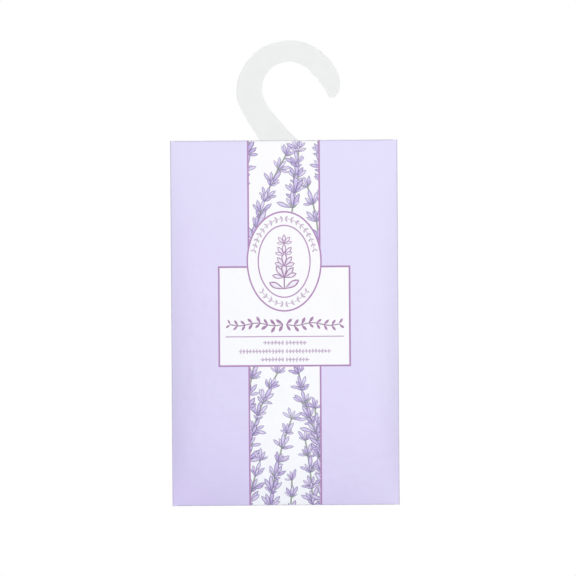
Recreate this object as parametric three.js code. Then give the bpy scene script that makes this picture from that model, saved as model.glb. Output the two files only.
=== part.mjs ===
/**
 * A hanging lavender sachet: one folded sheet of printed paper round a bed of scented granules,
 * and a film hook that is stuck on the back and folds at a crease behind the pouch's top edge.
 *
 * Millimetres, +Z up. The origin is the point under the hook's arch that bears on a rail. The
 * front of the pouch looks towards -Y, and the film of the hook lies in the plane Y = 0.
 */
import * as THREE from 'three';

/** Pouch: the folded size, the paper and how far the filling swells it. */
const pouchWidth = 115;
const pouchHeight = 185;
const paperThickness = 0.25;
const foldRadius = 0.45;
const frontSwell = 5.9;
const backSwell = 4.6;
const backFlatDepth = 3.7;
const headerHeight = 36;

/** Shape of the swell, as plain powers: across the pouch, up from its foot and down from its head. */
const acrossPower = 8;
const footPower = 0.65;
const headPower = 1.2;

/** Closing of the envelope: the wings' overlap behind, the two flaps over it and their paste. */
const seamOverlap = 14;
const seamRamp = 5;
const flapSideInset = 1.5;
const flapEndInset = 9;
const topFlapHeight = 30;
const bottomFlapHeight = 24;
const pasteThickness = 0.1;
const seamPasteWidth = 8;
const seamPasteEndInset = 5;
const flapPasteHeight = 9;
const flapPasteEndInset = 3;
const flapPasteSideInset = 5;

/** Room between pieces that the paste or the filling would close up in use. */
const clearance = 0.25;

/** Filling: how far it stays from the side folds, the foot and the head of the pouch. */
const fillingSideInset = 1.6;
const fillingFootInset = 2.4;
const fillingHeadSpace = 24;

/** Hook film, drawn from the point that bears on the rail. */
const filmThickness = 0.45;
const hookCrownWidth = 10.7;
const hookOuterRadius = 26.8;
const hookInnerRadius = 13.8;
const hookRise = 40;
const stemLeftAtHead = 15.2;
const stemRightAtHead = 4.2;
const noseTipInset = 5.5;
const noseTipDrop = 2.3;
const noseCornerWidth = 1.6;
const noseCornerHeight = 1.4;
const pouchOffset = 2.95;

/** Reach of the hook's curves: how far each one runs on before it turns to the next. */
const stemEdgeReach = 16;
const shoulderReach = 5;
const cheekReach = 7;
const noseReach = 4.2;
const flankReach = 7.5;
const archReach = 4.5;
const flareReach = 6;

/** Turns of the hook outline, in degrees. */
const cheekStart = 25;
const archEnd = 62;
const archStart = 205;
const stemLean = 30.5;
const flareLean = 43;
const flankLean = 29;

/** Crease and base of the hook, behind the pouch. */
const creaseDrop = 1;
const creaseGap = 0.3;
const baseWidth = 26;
const baseHeight = 25;
const baseShoulder = 5;
const baseCornerRadius = 4;
const tapeThickness = 0.25;
const tapeWidth = 12;
const tapeHeight = 17;
const tapeDrop = 5;

/** Fineness of the facets. */
const sideCells = 8;
const rowCount = 18;
const foldSteps = 4;
const outlineSteps = 9;
const mergeDistance = 2;
const placeSlack = 0.01;

/** Sizes that follow from the ones above. */
const sideX = pouchWidth / 2 - paperThickness / 2 - foldRadius;
const lowZ = -pouchHeight + paperThickness / 2 + foldRadius;
const highZ = -paperThickness / 2 - foldRadius;
const panelHeight = highZ - lowZ;
const seamX = seamOverlap / 2;
const rampX = seamX + seamRamp;
const flapX = sideX - flapSideInset;
const layerStep = paperThickness + pasteThickness + 2 * clearance;
const pasteRise = paperThickness / 2 + clearance;
const flapOuterY = foldRadius + 2 * layerStep + paperThickness / 2;
const pouchY = -(filmThickness / 2 + tapeThickness + flapOuterY);

/** Turns degrees into radians. */
function radians(degrees) {
  return THREE.MathUtils.degToRad(degrees);
}

/** How full the pouch is at a share of its height: nothing at both ends, 1 at the fullest place. */
function fullness(share) {
  const fullest = footPower / (footPower + headPower);
  const peak = fullest ** footPower * (1 - fullest) ** headPower;
  const inside = THREE.MathUtils.clamp(share, 0, 1);
  return (inside ** footPower * (1 - inside) ** headPower) / peak;
}

/** How full the pouch is across its width: nothing at the side folds, 1 in the middle. */
function crossFullness(x) {
  const share = Math.min(Math.abs(x) / sideX, 1);
  return 1 - share ** acrossPower;
}

/** Depth that the front panel swells forward at a place on the pouch. */
function frontDepth(x, z) {
  return frontSwell * crossFullness(x) * fullness((z - lowZ) / panelHeight);
}

/** Depth that the back swells: flat in the middle, where the pouch lies, and flat behind the header. */
function backDepth(x, z) {
  const swell = backSwell * crossFullness(x) * fullness((z - lowZ) / (panelHeight - headerHeight));
  return Math.min(swell, backFlatDepth);
}

/** Height of the right wing above the left one: level at the side, one layer up over the overlap. */
function rightWingRise(x) {
  return layerStep * THREE.MathUtils.clamp((rampX - x) / seamRamp, 0, 1);
}

/** Height of the wings as a flap finds them, which eases down on both sides of the seam. */
function seamRise(x) {
  return layerStep * THREE.MathUtils.clamp((rampX - Math.abs(x)) / seamRamp, 0, 1);
}

/** Joins sorted places into one list, and drops the regular ones that crowd a place that must stay. */
function mergePlaces(regular, kept) {
  const clearOfKept = regular.filter((place) => kept.every((stay) => Math.abs(place - stay) > mergeDistance));
  return [...clearOfKept, ...kept].sort((a, b) => a - b);
}

/** Places from an inner to an outer distance, closest together at the outer one, where the swell drops. */
function sidePlaces(inner, outer) {
  return Array.from({ length: sideCells + 1 }, (_, i) => {
    const share = Math.sin((Math.PI * i) / (2 * sideCells));
    return inner + (outer - inner) * share;
  });
}

/** Columns across the pouch, with one at each edge of a layer, so that all layers bend together. */
function panelColumns() {
  const half = [seamPasteWidth / 2, seamX, rampX, flapX, sideX];
  const kept = [...half.map((x) => -x), 0, ...half].sort((a, b) => a - b);
  const places = sidePlaces(rampX, flapX);
  const regular = [...places.map((x) => -x), ...places];
  return mergePlaces(regular, kept);
}

/** Rows up the pouch, closest at its foot and head, with one at each end of a layer. */
function panelRows() {
  const regular = Array.from({ length: rowCount + 1 }, (_, j) => {
    const share = (1 - Math.cos((Math.PI * j) / rowCount)) / 2;
    return lowZ + panelHeight * share;
  });
  const kept = [
    lowZ,
    lowZ + fillingFootInset,
    lowZ + seamPasteEndInset,
    ...flapPasteRows(lowZ, bottomFlapHeight),
    lowZ + bottomFlapHeight,
    highZ - headerHeight,
    highZ - topFlapHeight,
    ...flapPasteRows(highZ, -topFlapHeight),
    highZ - fillingHeadSpace,
    highZ - seamPasteEndInset,
    highZ,
  ];
  return mergePlaces(regular, kept);
}

/** The two edges of the paste under a flap, from the pouch's edge and the flap's signed height. */
function flapPasteRows(edgeZ, signedHeight) {
  const side = Math.sign(signedHeight);
  const outer = edgeZ + signedHeight - side * flapPasteEndInset;
  return [outer, outer - side * flapPasteHeight].sort((a, b) => a - b);
}

const columnsX = panelColumns();
const rowsZ = panelRows();

/** The places of a list that lie between two ends. */
function between(places, low, high) {
  return places.filter((place) => place > low - placeSlack && place < high + placeSlack);
}

/** Inner angles of a fold, from one side of the sheet to the other. */
function foldAngles() {
  return Array.from({ length: foldSteps - 1 }, (_, k) => -Math.PI / 2 + (Math.PI * (k + 1)) / foldSteps);
}

/**
 * Columns of the flat blank from the left wing's free edge to the right wing's.
 * Each one is a place on a wing or the front panel, or an angle round a side fold.
 */
function blankColumns() {
  const leftWing = between(columnsX, -sideX, seamX).reverse();
  const rightWing = between(columnsX, -seamX, sideX).reverse();
  const turns = foldAngles();
  return [
    ...leftWing.map((x) => ({ part: 'leftWing', x })),
    ...[...turns].reverse().map((angle) => ({ part: 'leftFold', x: -sideX, angle })),
    ...columnsX.map((x) => ({ part: 'front', x })),
    ...turns.map((angle) => ({ part: 'rightFold', x: sideX, angle })),
    ...rightWing.map((x) => ({ part: 'rightWing', x })),
  ];
}

/** Rows of the flat blank from the bottom flap's free edge to the top flap's. */
function blankRows() {
  const bottomFlap = between(rowsZ, lowZ, lowZ + bottomFlapHeight).reverse();
  const topFlap = between(rowsZ, highZ - topFlapHeight, highZ).reverse();
  const turns = foldAngles();
  return [
    ...bottomFlap.map((z) => ({ part: 'bottomFlap', z })),
    ...[...turns].reverse().map((angle) => ({ part: 'bottomFold', z: lowZ, angle })),
    ...rowsZ.map((z) => ({ part: 'panel', z })),
    ...turns.map((angle) => ({ part: 'topFold', z: highZ, angle })),
    ...topFlap.map((z) => ({ part: 'topFlap', z })),
  ];
}

/** Draws in a flap's sides towards its free end, and leaves the stretch over the seam as it is. */
function flapColumnX(x, distance, height) {
  const beyond = Math.abs(x) - rampX;
  if (beyond <= 0) {
    return x;
  }
  const drawnIn = 1 - (flapEndInset / (flapX - rampX)) * (distance / height);
  return Math.sign(x) * (rampX + beyond * drawnIn);
}

/** Point on a flap, which lies over the wings and the paste between them. */
function flapPoint(x, z, edgeZ, height) {
  const placedX = flapColumnX(x, Math.abs(z - edgeZ), height);
  const y = foldRadius + backDepth(placedX, z) + layerStep + seamRise(placedX);
  return new THREE.Vector3(placedX, y, z);
}

/** Point on the fold between the front panel and a flap, which wraps the ends of both wings. */
function flapFoldPoint(x, edgeZ, angle, direction) {
  const halfDepth = foldRadius + (layerStep + seamRise(x)) / 2;
  const y = halfDepth - foldRadius + halfDepth * Math.sin(angle);
  return new THREE.Vector3(x, y, edgeZ + direction * foldRadius * Math.cos(angle));
}

/** Point in the middle of the paper for one column and one row of the blank, once it is folded. */
function foldedPoint(column, row) {
  if (row.part === 'bottomFlap') {
    return flapPoint(column.x, row.z, lowZ, bottomFlapHeight);
  }
  if (row.part === 'topFlap') {
    return flapPoint(column.x, row.z, highZ, topFlapHeight);
  }
  if (row.part === 'bottomFold') {
    return flapFoldPoint(column.x, lowZ, row.angle, -1);
  }
  if (row.part === 'topFold') {
    return flapFoldPoint(column.x, highZ, row.angle, 1);
  }
  if (column.part === 'front') {
    return new THREE.Vector3(column.x, -foldRadius - frontDepth(column.x, row.z), row.z);
  }
  if (column.part === 'leftWing' || column.part === 'rightWing') {
    const rise = column.part === 'rightWing' ? rightWingRise(column.x) : 0;
    return new THREE.Vector3(column.x, foldRadius + backDepth(column.x, row.z) + rise, row.z);
  }
  const outward = Math.sign(column.x) * foldRadius * Math.cos(column.angle);
  return new THREE.Vector3(column.x + outward, foldRadius * Math.sin(column.angle), row.z);
}

/**
 * Closes two skins over a grid of cells into one solid, with a wall along every open edge.
 * The outer skin faces the cross product of the column and row directions.
 */
function solidFromSkins(columnTotal, rowTotal, hasCell, outerPoint, innerPoint) {
  const positions = [];
  const indices = [];
  const numbers = new Map();

  /** Number of one skin's grid point, which is made when it is first asked for. */
  function pointNumber(skin, i, j) {
    const key = `${skin} ${i} ${j}`;
    if (!numbers.has(key)) {
      const point = skin === 'outer' ? outerPoint(i, j) : innerPoint(i, j);
      numbers.set(key, positions.length / 3);
      positions.push(point.x, point.y, point.z);
    }
    return numbers.get(key);
  }

  /** Two triangles over four points. */
  function addQuad(a, b, c, d) {
    indices.push(a, b, c, a, c, d);
  }

  for (let i = 0; i < columnTotal - 1; i += 1) {
    for (let j = 0; j < rowTotal - 1; j += 1) {
      if (hasCell(i, j)) {
        const corners = [[i, j], [i + 1, j], [i + 1, j + 1], [i, j + 1]];
        const neighbours = [[i, j - 1], [i + 1, j], [i, j + 1], [i - 1, j]];
        const outer = corners.map(([ci, cj]) => pointNumber('outer', ci, cj));
        const inner = corners.map(([ci, cj]) => pointNumber('inner', ci, cj));
        addQuad(outer[0], outer[1], outer[2], outer[3]);
        addQuad(inner[0], inner[3], inner[2], inner[1]);
        neighbours.forEach(([ni, nj], side) => {
          const isOpen = ni < 0 || nj < 0 || ni >= columnTotal - 1 || nj >= rowTotal - 1 || !hasCell(ni, nj);
          if (isOpen) {
            const next = (side + 1) % corners.length;
            addQuad(outer[next], outer[side], inner[side], inner[next]);
          }
        });
      }
    }
  }
  const geometry = new THREE.BufferGeometry();
  geometry.setAttribute('position', new THREE.Float32BufferAttribute(positions, 3));
  geometry.setIndex(indices);
  geometry.computeVertexNormals();
  return geometry;
}

/** The whole blank as a sheet of paper with its thickness, folded round the filling. */
function envelopeGeometry() {
  const columns = blankColumns();
  const rows = blankRows();

  /** A flap and its fold hang on the front panel only, inside the side inset. */
  function hasCell(i, j) {
    if (rows[j].part === 'panel' && rows[j + 1].part === 'panel') {
      return true;
    }
    const onFront = columns[i].part === 'front' && columns[i + 1].part === 'front';
    const widest = Math.max(Math.abs(columns[i].x), Math.abs(columns[i + 1].x));
    return onFront && widest < flapX + placeSlack;
  }

  /** Whether any cell round a grid point is part of the blank. */
  function isUsed(i, j) {
    const inside = (ci, cj) => ci >= 0 && cj >= 0 && ci < columns.length - 1 && cj < rows.length - 1;
    return [[i, j], [i - 1, j], [i, j - 1], [i - 1, j - 1]].some(([ci, cj]) => inside(ci, cj) && hasCell(ci, cj));
  }

  /** Step of the folded sheet through a grid point along its columns or its rows. */
  function sheetStep(i, j, di, dj) {
    const from = isUsed(i - di, j - dj) ? [i - di, j - dj] : [i, j];
    const to = isUsed(i + di, j + dj) ? [i + di, j + dj] : [i, j];
    const start = foldedPoint(columns[from[0]], rows[from[1]]);
    return foldedPoint(columns[to[0]], rows[to[1]]).sub(start).normalize();
  }

  /** Grid point moved off the middle of the paper to one of its faces. */
  function facePoint(i, j, offset) {
    const normal = sheetStep(i, j, 1, 0).cross(sheetStep(i, j, 0, 1)).normalize();
    return foldedPoint(columns[i], rows[j]).addScaledVector(normal, offset);
  }

  const outer = (i, j) => facePoint(i, j, paperThickness / 2);
  const inner = (i, j) => facePoint(i, j, -paperThickness / 2);
  return solidFromSkins(columns.length, rows.length, hasCell, outer, inner);
}

/** The bed of granules, as the space that it fills inside the paper. */
function fillingGeometry() {
  const reach = sideX - fillingSideInset;
  const inside = columnsX.filter((x) => Math.abs(x) < reach - mergeDistance);
  const columns = [-reach, ...inside, reach];
  const rows = between(rowsZ, lowZ + fillingFootInset, highZ - fillingHeadSpace);
  const wall = paperThickness / 2 + clearance;
  const front = (i, j) => {
    const y = -foldRadius - frontDepth(columns[i], rows[j]) + wall;
    return new THREE.Vector3(columns[i], y, rows[j]);
  };
  const back = (i, j) => {
    const y = foldRadius + backDepth(columns[i], rows[j]) - wall;
    return new THREE.Vector3(columns[i], y, rows[j]);
  };
  return solidFromSkins(columns.length, rows.length, () => true, front, back);
}

/** A thin bed of paste behind the pouch, at a given rise above the left wing. */
function pasteGeometry(columns, rows, rise) {
  const leftwards = [...columns].reverse();
  const bottomY = (x, z) => foldRadius + backDepth(x, z) + rise(x) + pasteRise;
  const outer = (i, j) => {
    const y = bottomY(leftwards[i], rows[j]) + pasteThickness;
    return new THREE.Vector3(leftwards[i], y, rows[j]);
  };
  const inner = (i, j) => new THREE.Vector3(leftwards[i], bottomY(leftwards[i], rows[j]), rows[j]);
  return solidFromSkins(leftwards.length, rows.length, () => true, outer, inner);
}

/** Paste between the two wings, down the middle of the back. */
function seamPasteGeometry() {
  const columns = between(columnsX, -seamPasteWidth / 2, seamPasteWidth / 2);
  const rows = between(rowsZ, lowZ + seamPasteEndInset, highZ - seamPasteEndInset);
  return pasteGeometry(columns, rows, () => 0);
}

/** Paste under one flap, in a band near its free edge. */
function flapPasteGeometry(edgeZ, signedHeight) {
  const [low, high] = flapPasteRows(edgeZ, signedHeight);
  const reach = flapX - flapEndInset - flapPasteSideInset;
  const inside = columnsX.filter((x) => Math.abs(x) < reach - mergeDistance);
  return pasteGeometry([-reach, ...inside, reach], between(rowsZ, low, high), seamRise);
}

/** Cuts an outline out of flat film or tape, with the middle of its thickness in the plane Y = 0. */
function flatGeometry(outline, thickness) {
  const geometry = new THREE.ExtrudeGeometry(outline, {
    depth: thickness,
    bevelEnabled: false,
    curveSegments: outlineSteps,
  });
  geometry.translate(0, 0, -thickness / 2);
  geometry.rotateX(Math.PI / 2);
  return geometry;
}

const creaseZ = -hookRise - creaseDrop;
const stemLeftAtCrease = -stemLeftAtHead + creaseDrop * Math.tan(radians(stemLean));
const stemRightAtCrease = stemRightAtHead + creaseDrop * Math.tan(radians(flareLean));

/** Point at an angle on a circle whose centre is on the line X = 0. */
function pointOnCircle(centreZ, radius, degrees) {
  return new THREE.Vector2(radius * Math.cos(radians(degrees)), centreZ + radius * Math.sin(radians(degrees)));
}

/** Direction that leans a number of degrees from straight up, to the right when positive. */
function leaning(degrees, length) {
  return new THREE.Vector2(length * Math.sin(radians(degrees)), length * Math.cos(radians(degrees)));
}

/** Runs a curve from the outline's last point to an end, leaving and arriving by two handles. */
function curveTo(outline, start, leave, end, arrive) {
  const first = start.clone().add(leave);
  const second = end.clone().sub(arrive);
  outline.bezierCurveTo(first.x, first.y, second.x, second.y, end.x, end.y);
}

/** The hook: a stem that leans to the left, a round arch and a rounded nose on the right. */
function hookOutline() {
  const outline = new THREE.Shape();
  const outerZ = hookCrownWidth - hookOuterRadius;
  const innerZ = -hookInnerRadius;
  const stemLeft = new THREE.Vector2(-stemLeftAtHead, -hookRise);
  const stemRight = new THREE.Vector2(stemRightAtHead, -hookRise);
  const shoulder = pointOnCircle(outerZ, hookOuterRadius, 180);
  const cheek = pointOnCircle(outerZ, hookOuterRadius, cheekStart);
  const tip = new THREE.Vector2(hookOuterRadius - noseTipInset, outerZ - noseTipDrop);
  const corner = new THREE.Vector2(tip.x - noseCornerWidth, tip.y + noseCornerHeight);
  const arch = pointOnCircle(innerZ, hookInnerRadius, archEnd);
  const flare = pointOnCircle(innerZ, hookInnerRadius, archStart);
  const footZ = creaseZ + creaseGap / 2;

  outline.moveTo(stemLeftAtCrease, footZ);
  outline.lineTo(stemLeft.x, stemLeft.y);
  curveTo(outline, stemLeft, leaning(-stemLean, stemEdgeReach), shoulder, leaning(0, shoulderReach));
  outline.absarc(0, outerZ, hookOuterRadius, Math.PI, radians(cheekStart), true);
  curveTo(outline, cheek, leaning(180 - cheekStart, cheekReach), tip, new THREE.Vector2(-noseReach, 0));
  outline.quadraticCurveTo(corner.x, tip.y, corner.x, corner.y);
  curveTo(outline, corner, leaning(-flankLean, flankReach), arch, leaning(-archEnd, archReach));
  outline.absarc(0, innerZ, hookInnerRadius, radians(archEnd), radians(archStart), false);
  curveTo(outline, flare, leaning(360 - archStart, flareReach), stemRight, leaning(180 - flareLean, flareReach));
  outline.lineTo(stemRightAtCrease, footZ);
  outline.closePath();
  return outline;
}

/** The base that is stuck to the pouch: as wide as the stem at the crease, and wider below it. */
function baseOutline() {
  const outline = new THREE.Shape();
  const top = creaseZ - creaseGap / 2;
  const bottom = creaseZ - baseHeight;
  const left = -pouchOffset - baseWidth / 2;
  const right = -pouchOffset + baseWidth / 2;
  const corner = baseCornerRadius;
  outline.moveTo(stemRightAtCrease, top);
  outline.quadraticCurveTo(right, top - baseShoulder / 2, right, top - baseShoulder);
  outline.lineTo(right, bottom + corner);
  outline.absarc(right - corner, bottom + corner, corner, 0, -Math.PI / 2, true);
  outline.lineTo(left + corner, bottom);
  outline.absarc(left + corner, bottom + corner, corner, -Math.PI / 2, -Math.PI, true);
  outline.lineTo(left, top - baseShoulder);
  outline.quadraticCurveTo(left, top - baseShoulder / 2, stemLeftAtCrease, top);
  outline.closePath();
  return outline;
}

/** A rectangle of tape, centred on the pouch and clear of the base's edges. */
function tapeOutline() {
  const outline = new THREE.Shape();
  const top = creaseZ - tapeDrop;
  outline.moveTo(-pouchOffset - tapeWidth / 2, top - tapeHeight);
  outline.lineTo(-pouchOffset + tapeWidth / 2, top - tapeHeight);
  outline.lineTo(-pouchOffset + tapeWidth / 2, top);
  outline.lineTo(-pouchOffset - tapeWidth / 2, top);
  outline.closePath();
  return outline;
}

/** A finish of one colour. */
function finish(color, roughness) {
  return new THREE.MeshStandardMaterial({ color, roughness, metalness: 0 });
}

const printedPaper = finish(0xded8f6, 0.72);
const mineralGranules = finish(0xb79a6b, 0.9);
const driedPaste = finish(0xefe8d2, 0.5);
const frostedFilm = finish(0xeef0ee, 0.45);
const clearTape = finish(0xf3f3ee, 0.35);

/** Puts a named mesh into a group. */
function addMesh(group, name, geometry, material) {
  const mesh = new THREE.Mesh(geometry, material);
  mesh.name = name;
  group.add(mesh);
  return mesh;
}

/** The pouch in its own frame, with its head at zero height and its side folds in the plane Y = 0. */
function buildPouch() {
  const pouch = new THREE.Group();
  addMesh(pouch, 'paper_envelope', envelopeGeometry(), printedPaper);
  addMesh(pouch, 'scented_granules', fillingGeometry(), mineralGranules);
  addMesh(pouch, 'centre_seam_glue', seamPasteGeometry(), driedPaste);
  addMesh(pouch, 'bottom_flap_glue', flapPasteGeometry(lowZ, bottomFlapHeight), driedPaste.clone());
  addMesh(pouch, 'top_flap_glue', flapPasteGeometry(highZ, -topFlapHeight), driedPaste.clone());
  pouch.position.set(-pouchOffset, pouchY, -hookRise);
  return pouch;
}

/** The hook film above the crease, its base below it and the tape that holds the base. */
function buildHook() {
  const hook = new THREE.Group();
  addMesh(hook, 'hook', flatGeometry(hookOutline(), filmThickness), frostedFilm);
  addMesh(hook, 'hook_base', flatGeometry(baseOutline(), filmThickness), frostedFilm.clone());
  const tape = addMesh(hook, 'hook_tape', flatGeometry(tapeOutline(), tapeThickness), clearTape);
  tape.position.y = -(filmThickness + tapeThickness) / 2;
  return hook;
}

const sachet = new THREE.Group();
sachet.add(buildPouch(), buildHook());

export default sachet;
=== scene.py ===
"""Looks of a hanging lavender sachet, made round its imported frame.

The sachet is one sheet of printed paper folded round a bed of loose granules, with a hook of
frosted film stuck on its back. Lengths are metres, written as millimetres times MM. +Z is up,
and the printed front looks towards -Y. The print is laid out in millimetres on the flat blank:
across from the middle of the front panel, and down from the fold at the pouch's head.
"""

import itertools
import logging
import math
import random
from collections.abc import Callable, Iterable
from dataclasses import dataclass, field, fields
from enum import Enum, auto

import bmesh
import bpy
from mathutils import Matrix, Vector
from mathutils.bvhtree import BVHTree

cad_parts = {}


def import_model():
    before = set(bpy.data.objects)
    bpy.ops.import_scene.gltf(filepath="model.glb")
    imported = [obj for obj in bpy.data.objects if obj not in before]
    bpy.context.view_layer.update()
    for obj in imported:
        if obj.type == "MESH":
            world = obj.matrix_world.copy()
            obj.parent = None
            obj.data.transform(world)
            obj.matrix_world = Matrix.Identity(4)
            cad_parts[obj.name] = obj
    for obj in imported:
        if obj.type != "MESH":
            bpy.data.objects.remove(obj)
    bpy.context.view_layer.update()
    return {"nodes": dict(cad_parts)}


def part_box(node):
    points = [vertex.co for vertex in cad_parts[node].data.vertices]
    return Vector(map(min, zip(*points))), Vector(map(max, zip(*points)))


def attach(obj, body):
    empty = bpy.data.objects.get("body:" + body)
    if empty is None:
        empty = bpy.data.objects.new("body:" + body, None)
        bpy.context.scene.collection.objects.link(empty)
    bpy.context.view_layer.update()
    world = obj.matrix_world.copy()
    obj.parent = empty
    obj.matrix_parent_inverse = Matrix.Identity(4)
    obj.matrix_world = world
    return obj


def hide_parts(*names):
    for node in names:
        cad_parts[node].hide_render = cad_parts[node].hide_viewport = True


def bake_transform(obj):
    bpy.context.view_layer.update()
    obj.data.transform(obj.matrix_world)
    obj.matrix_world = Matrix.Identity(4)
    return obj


MM = 0.001
DEGREE = math.pi / 180
SEED = 7
BLANK, FOLD, TINT, INK, ALONG = "blank_mm", "fold", "tint", "ink", "along"
MATH = "ShaderNodeMath"
VECTOR_MATH = "ShaderNodeVectorMath"
SPLIT = "ShaderNodeSeparateXYZ"
JOIN = "ShaderNodeCombineXYZ"
MAP_RANGE = "ShaderNodeMapRange"
MIX = "ShaderNodeMix"
NOISE = "ShaderNodeTexNoise"
READ = "GeometryNodeInputNamedAttribute"
STORE = "GeometryNodeStoreNamedAttribute"
DRAW = "FunctionNodeRandomValue"
COLOUR_MIX = {"data_type": "RGBA", "out": 2}
MIX_A, MIX_B = 6, 7  # where a colour mix takes its two colours
DRAW_LOW, DRAW_HIGH = 2, 3  # where a random number takes its two ends
STEP_SLACK = 0.001  # share of a step by which a distance may run over
NUDGE = 1e-9  # metres, too little to see

Socket = bpy.types.NodeSocket
Piece = bpy.types.Object
Material = bpy.types.Material
Pair = tuple[float, float]
Triple = tuple[float, float, float]
Course = list[Pair]
Limit = Callable[[float, float], float]

logger = logging.getLogger("sachet")


def to_linear(hex_colour: str) -> tuple[float, float, float, float]:
    """Turns an sRGB hex colour into a linear one.

    Args:
        hex_colour: Six hexadecimal digits after a number sign.

    Returns:
        Linear red, green and blue, and an alpha of 1.
    """
    channels = [int(hex_colour[start : start + 2], 16) / 255 for start in (1, 3, 5)]
    linear = [c / 12.92 if c <= 0.04045 else ((c + 0.055) / 1.055) ** 2.4 for c in channels]
    return (linear[0], linear[1], linear[2], 1.0)


def eased(share: float) -> float:
    """Returns a share held between 0 and 1 and eased at both ends."""
    held = min(max(share, 0.0), 1.0)
    return held * held * (3 - 2 * held)


def titled(name: str) -> str:
    """Returns a field's name as the name of an input, such as Half width for half_width."""
    return name.replace("_", " ").capitalize()


def spread_places(start: float, end: float, cell: float, kept: Iterable[float] = ()) -> list[float]:
    """Spaces places evenly between two ends, and makes room for places that must be met.

    Args:
        start: First place.
        end: Last place.
        cell: Widest step between two places.
        kept: Places between the ends that the list must hold.

    Returns:
        All places, in rising order.
    """
    stops = sorted({start, end, *(place for place in kept if start < place < end)})
    places = [start]
    for low, high in zip(stops, stops[1:]):
        steps = max(1, math.ceil((high - low) / cell - STEP_SLACK))
        places += [low + (high - low) * step / steps for step in range(1, steps)]
        places.append(high)
    return places


def link_object(name: str, data: bpy.types.ID) -> Piece:
    """Makes an object of some data and links it to the scene.

    Args:
        name: Name of the object.
        data: Its mesh, curve, lamp or camera.

    Returns:
        The new object.
    """
    obj = bpy.data.objects.new(name, data)
    bpy.context.scene.collection.objects.link(obj)
    return obj


def mesh_object(name: str, points: list[Vector], faces: list[tuple[int, ...]]) -> Piece:
    """Makes an object out of points and faces.

    Args:
        name: Name of the object and its mesh.
        points: Its vertices.
        faces: Its faces, as numbers of vertices.

    Returns:
        The new object.
    """
    mesh = bpy.data.meshes.new(name)
    mesh.from_pydata(points, [], faces)
    mesh.update()
    return link_object(name, mesh)


def edited_object(name: str, shape: bmesh.types.BMesh, materials: Iterable[Material]) -> Piece:
    """Makes an object out of an edited mesh, which is freed.

    An extrusion leaves its faces in another order each run, so they are put in order of place,
    and the vertices in the order in which the faces use them.

    Args:
        name: Name of the object and its mesh.
        shape: The edited mesh, each vertex of which belongs to a face.
        materials: Its finishes.

    Returns:
        The new object.
    """
    facets = sorted(shape.faces, key=lambda facet: tuple(facet.calc_center_median()))
    corners = [corner for facet in facets for corner in facet.verts]
    for parts, ordered in ((shape.faces, facets), (shape.verts, corners)):
        ranks = {part: rank for rank, part in enumerate(ordered)}
        parts.sort(key=ranks.get)
    mesh = bpy.data.meshes.new(name)
    for material in materials:
        mesh.materials.append(material)
    shape.to_mesh(mesh)
    shape.free()
    return link_object(name, mesh)


def plain_copy(source: Piece, name: str) -> Piece:
    """Turns what an object's modifiers show into a plain mesh, and removes the object.

    Args:
        source: An object with live modifiers.
        name: Name of the plain object.

    Returns:
        The plain object.
    """
    graph = bpy.context.evaluated_depsgraph_get()
    shown = source.evaluated_get(graph)
    mesh = bpy.data.meshes.new_from_object(shown, preserve_all_data_layers=True, depsgraph=graph)
    bpy.data.objects.remove(source)
    mesh.name = name
    return link_object(name, mesh)


def store_numbers(piece: Piece, name: str, domain: str, values: list[float]) -> None:
    """Stores one number on each point or face of a mesh.

    Args:
        piece: The object whose mesh takes them.
        name: Name of the attribute.
        domain: What carries it, POINT or FACE.
        values: The numbers, in the mesh's order.
    """
    layer = piece.data.attributes.new(name, "FLOAT", domain)
    layer.data.foreach_set("value", values)


def report(piece: Piece) -> None:
    """Logs a finished piece."""
    logger.info("%s: %d faces", piece.name, len(piece.data.polygons))


class NodeTree:
    """A node tree that is being built."""

    def __init__(self, tree: bpy.types.NodeTree) -> None:
        """Takes the tree that new nodes go to."""
        self.tree = tree

    def feed(self, entry: Socket, value: object) -> None:
        """Gives an input its value.

        Args:
            entry: The input.
            value: A socket, which is linked, or a plain value.
        """
        if isinstance(value, Socket):
            self.tree.links.new(value, entry)
        else:
            entry.default_value = value

    def add(
        self, kind: str, *inputs: object, out: int | str = 0, **settings: object
    ) -> Socket | None:
        """Adds one node with its settings and links.

        Args:
            kind: The node's type.
            *inputs: Its inputs in order, or a dictionary of them by name or number.
            out: Name or number of the output that is returned.
            **settings: Properties of the node, set before its inputs.

        Returns:
            The output, or nothing from a node that has none.
        """
        node = self.tree.nodes.new(kind)
        for name, value in settings.items():
            setattr(node, name, value)
        for number, given in enumerate(inputs):
            for key, value in (given if isinstance(given, dict) else {number: given}).items():
                self.feed(node.inputs[key], value)
        return node.outputs[out] if node.outputs else None


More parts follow.
